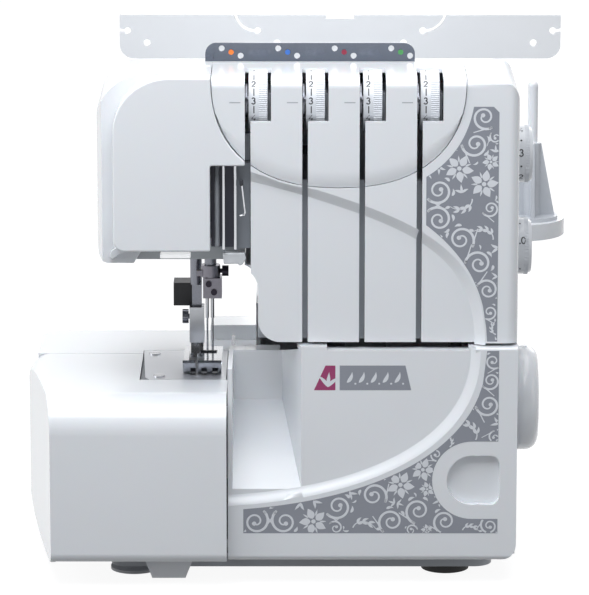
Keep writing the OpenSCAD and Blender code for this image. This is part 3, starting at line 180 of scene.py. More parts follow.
def add_world():
    """White to the camera; mirrors see a white wall behind and a dimmer room in front."""
    world = bpy.data.worlds.new("studio")
    bpy.context.scene.world = world
    world.use_nodes = True
    tree = world.node_tree
    links = tree.links
    tree.nodes.clear()
    out = tree.nodes.new("ShaderNodeOutputWorld")
    soft = background(tree, (0.93, 0.96, 1.0), SOFT_SKY)
    white = background(tree)
    room = background(tree)
    way = tree.nodes.new("ShaderNodeTexCoord")
    parts = tree.nodes.new("ShaderNodeSeparateXYZ")
    links.new(way.outputs["Generated"], parts.inputs[0])
    bands = tree.nodes.new("ShaderNodeValToRGB")
    bands.color_ramp.elements[0].position = 0.0
    bands.color_ramp.elements[0].color = (1.0, 1.0, 1.0, 1.0)
    bands.color_ramp.elements[1].position = 1.0
    bands.color_ramp.elements[1].color = (0.8, 0.8, 0.8, 1.0)
    for place, shade in ROOM_BANDS:
        stop = bands.color_ramp.elements.new(place)
        stop.color = (shade, shade, shade, 1.0)
    links.new(map_range(tree, parts.outputs["X"], -1.0, 1.0), bands.inputs["Fac"])
    banded = tree.nodes.new("ShaderNodeMix")
    banded.data_type = "RGBA"
    banded.inputs["A"].default_value = (1.0, 1.0, 1.0, 1.0)
    links.new(map_range(tree, parts.outputs["Y"], -0.1, -0.5), banded.inputs["Factor"])
    links.new(bands.outputs["Color"], banded.inputs["B"])
    links.new(banded.outputs["Result"], room.inputs["Color"])
    links.new(map_range(tree, parts.outputs["Y"], -0.7, 0.5, 0.42, 1.0), room.inputs["Strength"])
    path = tree.nodes.new("ShaderNodeLightPath")
    lit = either(tree, path.outputs["Is Glossy Ray"], soft.outputs[0], room.outputs[0])
    links.new(either(tree, path.outputs["Is Camera Ray"], lit, white.outputs[0]), out.inputs["Surface"])


FLOOR_REACH = 6.0
FLOOR_GLOW = 0.92       # keeps the floor white to the camera, with its shadow


def add_floor():
    mesh = bpy.data.meshes.new("floor")
    far = FLOOR_REACH
    mesh.from_pydata([(-far, -far, 0), (far, -far, 0), (far, far, 0), (-far, far, 0)], [], [(0, 1, 2, 3)])
    floor = bpy.data.objects.new("floor", mesh)
    bpy.context.scene.collection.objects.link(floor)
    mat = bpy.data.materials.new("floor_white")
    mat.use_nodes = True
    tree = mat.node_tree
    tree.nodes.clear()
    out = tree.nodes.new("ShaderNodeOutputMaterial")
    diffuse = tree.nodes.new("ShaderNodeBsdfDiffuse")
    diffuse.inputs["Color"].default_value = (0.18, 0.182, 0.185, 1.0)
    glow = tree.nodes.new("ShaderNodeEmission")
    glow.inputs["Strength"].default_value = FLOOR_GLOW
    add = tree.nodes.new("ShaderNodeAddShader")
    tree.links.new(diffuse.outputs[0], add.inputs[0])
    tree.links.new(glow.outputs[0], add.inputs[1])
    tree.links.new(either(tree, camera_or_mirror(tree), diffuse.outputs[0], add.outputs[0]),
                   out.inputs["Surface"])
    mesh.materials.append(mat)


# ---------- materials
BROAD_GRAIN = 14.0      # scale of the slow change of colour over a piece
BUMP_STRENGTH = 0.35


def surface(name, colour, rough, metal=0.0, coat=0.0, coat_rough=0.08, grain=900.0, vary=0.03,
            bump=0.00002, stretch=(1.0, 1.0, 1.0), through=0.0, sub=0.0, glow=0.0):
    """A finish whose colour and surface vary a little over the piece, at the scale of `grain`."""
    mat = bpy.data.materials.new(name)
    mat.use_nodes = True
    tree = mat.node_tree
    links = tree.links
    shader = tree.nodes["Principled BSDF"]
    for socket, value in (("Roughness", rough), ("Metallic", metal), ("Coat Weight", coat),
                          ("Coat Roughness", coat_rough), ("Transmission Weight", through)):
        shader.inputs[socket].default_value = value
    if glow > 0.0:
        shader.inputs["Emission Color"].default_value = (1.0, 1.0, 1.0, 1.0)
        shader.inputs["Emission Strength"].default_value = glow
    if sub > 0.0:
        shader.inputs["Subsurface Weight"].default_value = sub
        shader.inputs["Subsurface Scale"].default_value = 2.0 * MM
    place = tree.nodes.new("ShaderNodeTexCoord")
    mapping = tree.nodes.new("ShaderNodeMapping")
    mapping.inputs["Scale"].default_value = stretch
    links.new(place.outputs["Object"], mapping.inputs["Vector"])

    def noise(scale, detail):
        node = tree.nodes.new("ShaderNodeTexNoise")
        node.inputs["Scale"].default_value = scale
        node.inputs["Detail"].default_value = detail
        links.new(mapping.outputs[0], node.inputs["Vector"])
        return node.outputs["Fac"]

    blend = tree.nodes.new("ShaderNodeMix")
    blend.data_type = "RGBA"
    blend.inputs["A"].default_value = tuple(c * (1.0 - vary) for c in colour) + (1.0,)
    blend.inputs["B"].default_value = tuple(min(1.0, c * (1.0 + vary)) for c in colour) + (1.0,)
    links.new(noise(BROAD_GRAIN, 3.0), blend.inputs["Factor"])
    links.new(blend.outputs["Result"], shader.inputs["Base Color"])
    if bump > 0.0:
        dent = tree.nodes.new("ShaderNodeBump")
        dent.inputs["Strength"].default_value = BUMP_STRENGTH
        dent.inputs["Distance"].default_value = bump
        links.new(noise(grain, 4.0), dent.inputs["Height"])
        links.new(dent.outputs["Normal"], shader.inputs["Normal"])
    return mat


def rgb(r, g, b):
    """A colour given as 0 to 255, as it looks on a screen."""
    def linear(v):
        v /= 255.0
        return v / 12.92 if v <= 0.04045 else ((v + 0.055) / 1.055) ** 2.4
    return linear(r), linear(g), linear(b)


WHITE = surface("white_gloss", rgb(233, 236, 240), 0.26, coat=0.35, sub=0.05, vary=0.012)
DIAL = surface("dial_white", rgb(228, 231, 236), 0.3, coat=0.25, vary=0.012)
GREY = surface("grey_plastic", rgb(163, 168, 174), 0.42, vary=0.03, bump=0.00004)
LIGHT_GREY = surface("light_grey_plastic", rgb(196, 200, 206), 0.38, vary=0.02)
SMOKE = surface("smoke_plastic", rgb(236, 238, 241), 0.24, coat=0.3, through=0.12, vary=0.02)
LABEL_INK = surface("label_ink", rgb(44, 46, 52), 0.5, vary=0.04)
TICK = surface("tick_grey", rgb(172, 176, 182), 0.45, vary=0.04)
SMOKED_CHROME = surface("smoked_chrome", rgb(120, 126, 138), 0.16, metal=1.0, vary=0.05, grain=300.0,
                        bump=0.000006)
TOOL_STEEL = surface("tool_steel", rgb(128, 126, 134), 0.34, metal=0.9, vary=0.08, grain=500.0)
# blued steel for the clamp screws; also painted shade for the dark stripe that stands for each plate screw's
# slot
BLUED_AND_SLOT_SHADE = surface("blued_steel_and_slot_shade", rgb(46, 42, 52), 0.3, metal=0.8, vary=0.1, grain=600.0)
BAY_GREY = surface("bay_grey", rgb(122, 127, 134), 0.4, metal=0.2, vary=0.05)
# painted shade: thin dark sheets at the back and in the groove of the needle window
BAY_PAINTED_SHADE = surface("bay_painted_shade", rgb(44, 46, 58), 0.35, metal=0.3, vary=0.08)
THREAD_ORANGE = surface("mark_orange", rgb(232, 122, 48), 0.4, vary=0.04)
THREAD_BLUE = surface("mark_blue", rgb(58, 108, 186), 0.4, vary=0.04)
THREAD_MAROON = surface("mark_maroon", rgb(140, 44, 66), 0.4, vary=0.04)
THREAD_GREEN = surface("mark_green", rgb(74, 146, 84), 0.4, vary=0.04)
LENS = surface("lens_plastic", rgb(226, 229, 233), 0.2, coat=0.4, through=0.25, vary=0.02)
LAMP_LENS = surface("lamp_lens", rgb(240, 242, 244), 0.3, glow=0.55, vary=0.02)
MAGENTA = surface("print_magenta", rgb(150, 40, 98), 0.34, coat=0.25, vary=0.03)
PRINT_GREY = surface("print_grey", rgb(140, 144, 154), 0.34, coat=0.25, vary=0.04)
PRINT_PALE = surface("print_pale", rgb(224, 227, 233), 0.3, coat=0.25, vary=0.01)
BLACK = surface("black_plastic", rgb(30, 31, 34), 0.42, vary=0.08, bump=0.00005)
RUBBER = surface("rubber", rgb(24, 24, 25), 0.68, vary=0.12, bump=0.00006)
SLOT_DARK = surface("slot_dark", rgb(52, 54, 60), 0.6, vary=0.08)
ALLOY = surface("cast_alloy", rgb(142, 146, 150), 0.5, metal=0.8, vary=0.08, grain=700.0, bump=0.0001)
STEEL = surface("brushed_steel", rgb(186, 188, 192), 0.28, metal=1.0, vary=0.06, grain=500.0,
                stretch=(1.0, 0.06, 1.0), bump=0.00003)
CHROME = surface("chrome", rgb(208, 210, 214), 0.1, metal=1.0, vary=0.03, grain=300.0, bump=0.000004)
BAR_STEEL = surface("ground_steel", rgb(176, 178, 182), 0.22, metal=1.0, vary=0.05, grain=500.0,
                    stretch=(1.0, 1.0, 0.05), bump=0.00002)
DARK_STEEL = surface("bar_dark_steel", rgb(132, 134, 142), 0.26, metal=0.9, vary=0.12, grain=420.0,
                     stretch=(1.0, 1.0, 0.05), bump=0.00002)
PLATE_STEEL = surface("plate_steel", rgb(214, 216, 220), 0.34, metal=0.75, vary=0.04, grain=500.0,
                      stretch=(1.0, 0.06, 1.0), bump=0.00002)
PALE_RUBBER = surface("pale_rubber", rgb(206, 208, 213), 0.5, vary=0.05, bump=0.00004)
BRONZE = surface("sintered_bronze", rgb(172, 128, 76), 0.42, metal=1.0, vary=0.1, grain=1200.0, bump=0.00005)
DARK_METAL = surface("dark_enamel", rgb(58, 61, 66), 0.36, metal=0.3, coat=0.3, vary=0.06)

NODE_FINISH = {
    WHITE: ["bed_housing", "rear_housing", "front_housing", "face_cover", "tension_panel",
            "spool_stand", "spool_pins", "handwheel", "looper_cover", "side_cover", "foot_bracket"],
    DIAL: ["tension_dial_1", "tension_dial_2", "tension_dial_3", "tension_dial_4",
           "stitch_length_dial", "differential_dial"],
    GREY: ["thread_channels"],
    LIGHT_GREY: ["base_pan", "lamp", "cone_holders"],
    SMOKE: ["guide_bar"],
    BLACK: ["power_inlet", "power_switch", "presser_lever"],
    RUBBER: ["rubber_feet", "drive_belt"],
    PALE_RUBBER: ["suction_foot"],
    ALLOY: ["machine_frame", "frame_arm", "head_casting"],
    STEEL: ["foot_holder", "feed_dog"],
    BAY_GREY: ["needle_bay"],
    TOOL_STEEL: ["needle_clamp"],
    BLUED_AND_SLOT_SHADE: ["clamp_screws"],
    SMOKED_CHROME: ["thread_guide_plate"],
    CHROME: ["thread_hook", "presser_foot", "mast_base", "mast_stage", "screws"],
    BAR_STEEL: ["tension_springs", "cover_rod", "side_cover_pin", "lower_knife", "main_shaft",
                "needles", "upper_looper", "lower_looper", "upper_knife"],
    DARK_STEEL: ["needle_bar", "presser_bar", "foot_screw", "tension_units"],
    PLATE_STEEL: ["needle_plate"],
    BRONZE: ["shaft_bearings"],
    DARK_METAL: ["motor", "belt_pulley", "motor_pulley", "cover_slide_bush"],
}


def paint(obj, mat):
    if not obj.material_slots:
        obj.data.materials.append(None)
    for slot in obj.material_slots:
        slot.link = "OBJECT"
        slot.material = mat


for finish, names in NODE_FINISH.items():
    for node_name in names:
        paint(nodes[node_name], finish)


# ---------- mesh helpers
SAME_PLACE = 0.000002   # corners nearer than this are one


def new_piece(name, mesh, body, mat, stands_for=()):
    """A finished mesh as a piece that rides on a body."""
    obj = bpy.data.objects.new(name, mesh)
    bpy.context.scene.collection.objects.link(obj)
    if mat is not None:
        paint(obj, mat)
    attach(obj, body)
    if stands_for:
        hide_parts(*stands_for)
    return obj


def mesh_of(name, bm):
    """The mesh that was built, which ends the building."""
    mesh = bpy.data.meshes.new(name)
    bm.to_mesh(mesh)
    bm.free()
    return mesh


def in_drawing(place):
    """A place in the row frame as X, Y and Z of the drawing, in millimetres."""
    return ((place - CORNER) / MM)[:]


def slice_mesh(bm, place, axis):
    """Adds edges where a plane passes."""
    bmesh.ops.bisect_plane(bm, geom=bm.verts[:] + bm.edges[:] + bm.faces[:], plane_co=place, plane_no=axis)


def body_of_node(node):
    for body, members in frame["record"]["behaviour"]["bodies"].items():
        if node in members:
            return body
    return "root"


def applied(obj):
    """Replaces the object's mesh by what its modifiers make of it."""
    bpy.context.view_layer.update()
    depsgraph = bpy.context.evaluated_depsgraph_get()
    made = bpy.data.meshes.new_from_object(obj.evaluated_get(depsgraph))
    obj.modifiers.clear()
    obj.data = made


# ---------- ovals of the front
# How near to an oval, a plane and a slot's wall a corner counts as part of it.
ON_OVAL, ON_PLANE, AT_WALL = 0.012, 0.05, 0.06
ACROSS, INWARDS, UPWARDS = (1.0, 0.0, 0.0), (0.0, 1.0, 0.0), (0.0, 0.0, 1.0)


def oval_normal(dx, dz, a, b, n):
    """The way out of an oval, from a place given in shares of its half sizes."""
    nx = math.copysign(abs(dx) ** (n - 1) / a, dx)
    nz = math.copysign(abs(dz) ** (n - 1) / b, dz)
    length = math.hypot(nx, nz)
    return nx / length, nz / length


def oval_share(d, n):
    """How far an oval reaches one way at a place along the other, in shares of its half sizes."""
    return max(0.0, 1.0 - abs(d) ** n) ** (1.0 / n)


def dial_oval(grow=0.0):
    """The dial panel's outline, or one that lies further out."""
    return PANEL_CX, PANEL_CZ, PANEL_A + grow, PANEL_B + grow, PANEL_N


def along_recess(turn, b):
    """A point of the recess's outline and the way out of it, at an angle from its centre."""
    c, w = math.cos(turn), math.sin(turn)
    dx = math.copysign(abs(c) ** (2 / RECESS_N), c)
    dz = math.copysign(abs(w) ** (2 / RECESS_N), w)
    return (RECESS_CX + RECESS_A * dx, RECESS_CZ + b * dz) + oval_normal(dx, dz, RECESS_A, b, RECESS_N)


def clear_of_dials(x, z, nx, nz, shift):
    """The largest step out of the recess that stays off the opening of the dial panel."""
    cx, cz, a, b, n = dial_oval(1.2)
    while shift > 0.4:
        px, pz = x + nx * shift, z + nz * shift
        if abs((px - cx) / a) ** n + abs((pz - cz) / b) ** n > 1.0:
            break
        shift -= 0.2
    return shift


def at_slot_wall(x):
    return any(abs(abs(x - slot) - SLOT_HALF) < AT_WALL for slot in SLOTS)


# The step in the looper cover's upper edge.
COVER_STEP_X0, COVER_STEP_X1, COVER_STEP_Z = 165.4, 241.2, 129.9


def sag(x, up):
    """Shift in Z of the recess's upper edge, which hangs below its even curve."""
    if not up or x > SAG_X1:
        return 0.0
    return -SAG_DEPTH * math.sin(math.pi * (x - SAG_X0) / (SAG_X1 - SAG_X0))


def widen_recess(bm, front, b, up, out):
    """Moves the recess's front edge outwards, where the sloping band begins."""
    for vert in bm.verts:
        x, y, z = in_drawing(vert.co)
        dx, dz = (x - RECESS_CX) / RECESS_A, (z - RECESS_CZ) / b
        if min(abs(y - front), abs(y - front - RECESS_DEEP)) > ON_PLANE or (dz > 0) != up:
            continue
        if abs(abs(dx) ** RECESS_N + abs(dz) ** RECESS_N - 1.0) > ON_OVAL:
            continue
        nx, nz = oval_normal(dx, dz, RECESS_A, b, RECESS_N)
        vert.co.z += sag(x, up) * MM
        if abs(y - front) > ON_PLANE:
            continue
        shift = clear_of_dials(x, z + sag(x, up), nx, nz, out) if up else out
        if at_slot_wall(x) or x < SLOTS[0] + 1.8:
            vert.co.z += shift / nz * MM
        elif abs(z - HOUSING_LOW) < 0.3 or abs(z - COVER_TOP) < 0.2 or abs(z - COVER_STEP_Z) < 0.2:
            vert.co.x += shift * MM
        else:
            vert.co.x += nx * shift * MM
            vert.co.z += nz * shift * MM


# The dial panel's rounded edge: planes in Y, and how far in from the outline each one begins.
CROWN_RINGS = ((PANEL_Y, 9.0), (PANEL_Y + 0.4, 3.6), (PANEL_Y + 1.6, 0.0))
CROWN_TOP, CROWN_FADE = 256.0, 22.0     # it fades out towards this height


def crown(bm):
    """Rounds the dial panel's front off towards its lower edge."""
    cx, cz, a, b, n = dial_oval()
    walls = [slot + side for slot in SLOTS for side in (-SLOT_HALF, SLOT_HALF)]
    for y, _ in CROWN_RINGS[1:]:
        slice_mesh(bm, at(0, y, 0), INWARDS)
    for vert in bm.verts:
        x, y, z = in_drawing(vert.co)
        dx, dz = (x - cx) / a, (cz - z) / b
        if dz <= 0.02 or abs(abs(dx) ** n + dz ** n - 1.0) > ON_OVAL:
            continue
        for level, inward in CROWN_RINGS[:2]:
            if abs(y - level) > ON_PLANE:
                continue
            inward *= min(1.0, max(0.0, (CROWN_TOP - z) / CROWN_FADE))
            nx, nz = oval_normal(dx, -dz, a, b, n)
            wall = min(walls, key=lambda w: abs(w - x))
            if abs(wall - x) > AT_WALL and (x - wall) * (x - nx * inward - wall) > 0.0:
                vert.co.x -= nx * inward * MM
                vert.co.z -= nz * inward * MM
            else:           # it would cross a slot, so it stays at the slot's wall
                dx = (wall - cx) / a
                dz = oval_share(dx, n)
                nz = oval_normal(dx, -dz, a, b, n)[1]
                vert.co.x = at(wall, 0, 0).x
                vert.co.z = at(0, 0, cz - b * dz - inward / min(-0.5, nz)).z
    bmesh.ops.remove_doubles(bm, verts=bm.verts, dist=SAME_PLACE)


def recess_band(name, front, b, up, out, deep, body, x0):
    """The sloping band round the recess, cut where the thread slots pass."""
    bm = bmesh.new()
    joint = HOUSING_LOW if up else COVER_TOP - 0.1
    rows = []
    steps, across = 180, 8
    for i in range(steps + 1):
        turn = math.radians(0.15) + math.radians(88.0) * i / steps
        x, z, nx, nz = along_recess(turn if up else -turn, b)
        z += sag(x, up)
        first = clear_of_dials(x, z, nx, nz, out) if up else out
        row = []
        for k in range(across + 1):
            t = k / across
            ease = 0.75 * t + 0.25 * t * t * (3.0 - 2.0 * t)
            offset = first + 0.15 - (first + deep + 0.15) * t
            row.append(bm.verts.new(at(x + nx * offset, front - 0.02 + (RECESS_DEEP + 0.02) * ease,
                                       z + nz * offset)))
        rows.append(row)
    for a, c in zip(rows, rows[1:]):
        for k in range(across):
            bm.faces.new((a[k], a[k + 1], c[k + 1], c[k]) if up else (a[k], c[k], c[k + 1], a[k + 1]))
    slice_mesh(bm, at(x0, 0, 0), ACROSS)
    slice_mesh(bm, at(0, 0, joint), UPWARDS)
    passed = SLOTS[1:] if up else ()
    for slot in passed:
        slice_mesh(bm, at(slot - SLOT_HALF, 0, 0), ACROSS)
        slice_mesh(bm, at(slot + SLOT_HALF, 0, 0), ACROSS)
    gone = []
    for face in bm.faces:
        x, _, z = in_drawing(face.calc_center_median())
        past = z < joint if up else z > joint
        in_slot = any(abs(x - slot) < SLOT_HALF for slot in passed)
        in_step = not up and z > COVER_STEP_Z and COVER_STEP_X0 < x < COVER_STEP_X1
        if x < x0 or past or in_slot or in_step:
            gone.append(face)
    bmesh.ops.delete(bm, geom=gone, context="FACES")
    for face in bm.faces:
        face.smooth = True
    new_piece(name, mesh_of(name, bm), body, WHITE)


def soften(node, width, mat, reshape=None):
    """The node's own shape with its sharp edges rounded, as moulded parts have them."""
    mesh = nodes[node].data.copy()
    bm = bmesh.new()
    bm.from_mesh(mesh)
    bmesh.ops.remove_doubles(bm, verts=bm.verts, dist=SAME_PLACE)
    bmesh.ops.dissolve_limit(bm, angle_limit=math.radians(0.6), verts=bm.verts, edges=bm.edges)
    if reshape:
        reshape(bm)
    bm.to_mesh(mesh)
    bm.free()
    for face in mesh.polygons:
        face.use_smooth = True
    piece = new_piece("soft_" + node, mesh, body_of_node(node), None, (node,))
    mesh.materials.clear()
    bevel = piece.modifiers.new("edge", "BEVEL")
    bevel.width = width
    bevel.segments = 3
    bevel.limit_method = "ANGLE"
    bevel.angle_limit = math.radians(32.0)
    bevel.miter_outer = "MITER_ARC"
    normals = piece.modifiers.new("normals", "WEIGHTED_NORMAL")
    normals.keep_sharp = True
    applied(piece)
    paint(piece, mat)


# ---------- shells
RESHAPE = {
    "front_housing": lambda bm: widen_recess(bm, FRONT_Y, RECESS_B_UP, True, BAND_UP),
    "looper_cover": lambda bm: widen_recess(bm, COVER_Y, RECESS_B_LOW, False, BAND_LOW),
    "tension_panel": crown,
}
for shell, edge in [("bed_housing", 1.2), ("rear_housing", 1.1), ("front_housing", 0.7),
                    ("face_cover", 1.2), ("tension_panel", 0.5), ("side_cover", 0.9),
                    ("looper_cover", 0.8), ("spool_stand", 1.0), ("base_pan", 0.8)]:
    soften(shell, edge * MM, LIGHT_GREY if shell == "base_pan" else WHITE, RESHAPE.get(shell))
recess_band("upper_band", FRONT_Y, RECESS_B_UP, True, BAND_UP, 0.6, "root", SLOTS[0] + 1.55)
recess_band("lower_band", COVER_Y, RECESS_B_LOW, False, BAND_LOW, 2.6, "front_cover", 112.2)


# ---------- printed panels
PRINT_LIFT = 0.05       # the print stands this far off the plastic
BOW_CX, BOW_CZ, BOW_N = 82.0, 131.5, 2.3    # the long bow round the recess
BOW_A = 169.0
BOW_B_LOW, BOW_B_UP = 90.0, 100.0
DIAL_MARGIN = 5.0       # how far the print stays away from the dial panel


def bow_z(x, b, up):
    """Height of the bow's outer edge at x."""
    return BOW_CZ + (1 if up else -1) * b * oval_share((x - BOW_CX) / BOW_A, BOW_N)


def bend(cx, cz, rx, rz, a0, a1, steps=8):
    """Points along an ellipse, between two angles in degrees."""
    return [(cx + rx * math.cos(math.radians(a0 + (a1 - a0) * i / steps)),
             cz + rz * math.sin(math.radians(a0 + (a1 - a0) * i / steps))) for i in range(steps + 1)]


def polar(x, z, r, turn):
    """The point at a distance and an angle from another."""
    return x + r * math.cos(turn), z + r * math.sin(turn)


def lower_panel():
    left, right, low, top = 120.4, 257.4, 29.4, 130.4
    grip_x, grip_z, grip_r = 243.5, 58.9, 21.5
    loop = [(left, low), (right, low), (right, grip_z - grip_r)]
    loop += bend(grip_x, grip_z, grip_r, grip_r, 270, 90, 28)
    loop += [(right, grip_z + grip_r), (right, top)]
    reach = BOW_CX + BOW_A * oval_share((BOW_CZ - top) / BOW_B_LOW, BOW_N)
    steps = 60
    for i in range(steps + 1):
        x = reach + (left - reach) * i / steps
        loop.append((x, min(top, bow_z(x, BOW_B_LOW, False))))
    return loop


def upper_panel():
    left, right, low, top = 218.0, 256.4, 134.6, 262.0
    cx, cz, a, b, n = dial_oval(DIAL_MARGIN)
    loop = [(right, low), (right, top - 3.0), (right - 3.0, top)]
    steps = 40
    for i in range(steps + 1):
        z = top + (cz - b * oval_share((left - cx) / a, n) - top) * i / steps
        x = cx + a * oval_share((cz - z) / b, n)
        loop.append((max(left, x), z))
    for i in range(steps + 1):
        x = left + (248.6 - left) * i / steps
        loop.append((x, bow_z(x, BOW_B_UP, True)))
    loop += [(250.5, 142.0), (251.0, low)]
    return loop


def inside(loop, x, z):
    odd = False
    for (ax, az), (bx, bz) in zip(loop, loop[1:] + loop[:1]):
        if (az > z) != (bz > z) and x < ax + (z - az) * (bx - ax) / (bz - az):
            odd = not odd
    return odd


def edge_points(loop, step):
    points = []
    for (ax, az), (bx, bz) in zip(loop, loop[1:] + loop[:1]):
        count = max(1, int(math.hypot(bx - ax, bz - az) / step))
        points += [(ax + (bx - ax) * i / count, az + (bz - az) * i / count) for i in range(count)]
    return points


def pack_circles(loop, largest, smallest, bleed=2.4, step=1.2):
    """Largest free circles first, so the panel is filled evenly."""
    xs, zs = [p[0] for p in loop], [p[1] for p in loop]
    rim = edge_points(loop, 1.0)
    room = {}
    x = min(xs) + step / 2
    while x < max(xs):
        z = min(zs) + step / 2
        while z < max(zs):
            if inside(loop, x, z):
                room[(x, z)] = min(math.hypot(x - a, z - b) for a, b in rim) + bleed
            z += step
        x += step
    circles = []
    while room:
        (x, z), r = max(room.items(), key=lambda item: (round(min(item[1], largest), 2), -item[0][0]))
        r = min(r, largest)
        if r < smallest:
            break
        circles.append((x, z, r))
        for key in list(room):
            gap = math.hypot(key[0] - x, key[1] - z) - r
            if gap <= 0.0:
                del room[key]
            else:
                room[key] = min(room[key], gap)
    return circles


def turning(points):
    """Twice the signed area of an outline; above 0 when it runs anticlockwise."""
    return sum(a[0] * b[1] - b[0] * a[1] for a, b in zip(points, list(points[1:]) + [points[0]]))


SPECK = 0.0004          # smaller faces are left out
STROKE_STEP = 0.0006    # each stroke lies this far in front of the last
QUAD_STEP = 0.00015     # and neighbouring quads of a ribbon this far apart


class Print:
    """Flat artwork: ribbons, discs and leaves on one plane."""

    def __init__(self, y, loop=None, place=None):
        self.bm = bmesh.new()
        self.y = y
        self.loop = loop
        self.place = place

    def vert(self, x, z):
        return self.bm.verts.new(self.place(x, z) if self.place else at(x, self.y, z))

    def lift(self):
        """Each stroke lies a hair above the last, so that none share a plane."""
        self.y -= STROKE_STEP

    def area(self, points):
        turn = turning(points)
        if abs(turn) > SPECK:
            self.bm.faces.new([self.vert(x, z) for x, z in (points if turn > 0 else points[::-1])])

    def ribbon(self, path, widths):
        """A strip along the path, left out where it leaves the panel."""
        self.lift()
        sides = []
        for i, (x, z) in enumerate(path):
            ax, az = path[max(0, i - 1)]
            bx, bz = path[min(len(path) - 1, i + 1)]
            length = math.hypot(bx - ax, bz - az) or 1.0
            nx, nz = -(bz - az) / length, (bx - ax) / length
            half = widths[i] / 2
            sides.append(((x + nx * half, z + nz * half), (x - nx * half, z - nz * half)))
        base = self.y
        for i, ((a, b), (c, d)) in enumerate(zip(sides, sides[1:])):
            self.y = base - (i % 4) * QUAD_STEP
            if self.loop is None or all(inside(self.loop, *p) for p in (a, b, c, d)):
                for corner in ((a, b, d), (a, d, c)):
                    if turning(corner) > SPECK:
                        self.bm.faces.new([self.vert(*spot) for spot in corner])
        self.y = base

    def disc(self, x, z, r, steps=14):
        self.lift()
        points = [polar(x, z, r, math.tau * i / steps) for i in range(steps)]
        if self.loop is None or all(inside(self.loop, *p) for p in points):
            self.area(points)

    def leaf(self, x, z, length, width, angle, curl):
        """A pointed leaf from its stalk, as a ribbon that swells and closes."""
        steps = 12
        path, widths = [], []
        for i in range(steps + 1):
            t = i / steps
            path.append(polar(x, z, length * t, angle + curl * t))
            widths.append(max(0.02, width * math.sin(math.pi * t ** 0.75)))
        self.ribbon(path, widths)

    def volute(self, x, z, r, turns, hand, start, width):
        """A spiral from its rim to a round bud."""
        steps = int(26 * turns) + 8
        path, widths = [], []
        for i in range(steps + 1):
            t = i / steps
            radius = r * (1.0 - 0.80 * t ** 0.85)
            path.append(polar(x, z, radius, start + hand * math.tau * turns * t))
            widths.append(width * (1.0 - 0.45 * t))
        self.ribbon(path, widths)
        self.disc(*path[-1], width * 0.85)

    def finish(self, name, body, mat, slot="white_plastic"):
        new_piece(name, mesh_of(name, self.bm), body, mat)


def bloom(art, x, z, r, turn):
    """An open flower: five broad petals round a bud."""
    for k in range(5):
        way = turn + math.tau * k / 5
        art.leaf(*polar(x, z, 0.2 * r, way), 0.78 * r, 0.5 * r, way, 0.12)
        art.leaf(*polar(x, z, 0.42 * r, way + 0.63), 0.46 * r, 0.12 * r, way + 0.63, 0.0)
    art.disc(x, z, 0.15 * r)


def sprig(art, x, z, r, way, hand):
    """A bent stalk with pairs of leaves."""
    path, widths = [], []
    for k in range(15):
        t = k / 14
        path.append(polar(*polar(x, z, -r, way), 2.0 * r * t, way + hand * (t - 0.5) * 1.3))
        widths.append(0.75 - 0.4 * t)
    art.ribbon(path, widths)
    for k in (4, 7, 10):
        heading = math.atan2(path[k + 1][1] - path[k - 1][1], path[k + 1][0] - path[k - 1][0])
        for side in (-1, 1):
            art.leaf(*path[k], r * 0.62, r * 0.24, heading + side * 0.8, side * -0.4)
    art.leaf(*path[-1], r * 0.5, r * 0.26, way + hand * 0.65, 0.0)


def scroll(art, x, z, r, toward, hand, near):
    """A volute with two leaves, tied to its neighbour by a tapering stem."""
    width = min(1.5, 0.5 + 0.12 * r)
    start = toward - hand * 0.7
    art.volute(x, z, r * 0.92, 1.45 if r > 5 else 1.2, hand, start, width)
    foot = polar(x, z, r * 0.92, start)
    reach = math.hypot(near[0] - foot[0], near[1] - foot[1]) * 0.5
    knee = polar(*foot, reach, start - hand * math.pi / 2)
    tip = polar(near[0], near[1], -near[2] * 0.8, toward - hand * 0.5)
    steps = 16
    path = []
    for t in [k / steps for k in range(steps + 1)]:
        path.append([(1 - t) ** 2 * a + 2 * t * (1 - t) * b + t * t * c for a, b, c in zip(foot, knee, tip)])
    art.ribbon(path, [width * (1.0 - 0.6 * k / steps) for k in range(steps + 1)])
    for turn, size in ((1.2, 0.5), (2.3, 0.42)):
        way = toward + hand * turn
        art.leaf(*polar(x, z, r * 0.95, way), size * r, 0.2 * r, way + hand * 1.0, hand * 0.8)


# Radius from which a circle is filled with a flower, sprig or volute, and with three leaves or one.
LARGEST, FULL, THREE_LEAVES, ONE_LEAF = 7.8, 3.4, 2.4, 1.8


def scrollwork(name, loop, plane, body):
    """Grey ground with pale volutes, flowers and sprigs that run off the panel's edges."""
    ground = Print(plane - PRINT_LIFT)
    ground.area(loop)
    ground.finish(name + "_ground", body, PRINT_GREY)
    art = Print(plane - 2 * PRINT_LIFT, loop)
    circles = pack_circles(loop, LARGEST, ONE_LEAF, 1.6)
    big = [c for c in circles if c[2] >= FULL]
    for i, (x, z, r) in enumerate(circles):
        others = [c for c in big if c is not circles[i]]
        near = min(others, key=lambda c: math.hypot(c[0] - x, c[1] - z) - c[2])
        toward = math.atan2(near[1] - z, near[0] - x)
        hand = 1 if i % 2 else -1
        if r >= FULL and i % 5 == 2:
            bloom(art, x, z, r * 1.02, toward)
        elif r >= FULL and i % 5 == 4:
            sprig(art, x, z, r * 0.8, toward + 0.6, hand)
        elif r >= FULL:
            scroll(art, x, z, r, toward, hand, near)
        elif r >= THREE_LEAVES:
            for spread in (-0.75, 0.0, 0.75):
                art.leaf(*polar(x, z, -r * 0.8, toward), r * (1.6 - 0.3 * abs(spread)), r * 0.45,
                         toward + spread, spread * 0.5)
        else:
            way = toward + 1.2
            art.leaf(*polar(x, z, -r * 0.7, way), r * 1.5, r * 0.5, way, hand * 0.9)
    art.finish(name + "_scrolls", body, PRINT_PALE)


scrollwork("lower_print", lower_panel(), COVER_Y, "front_cover")
scrollwork("upper_print", upper_panel(), FRONT_Y, "root")


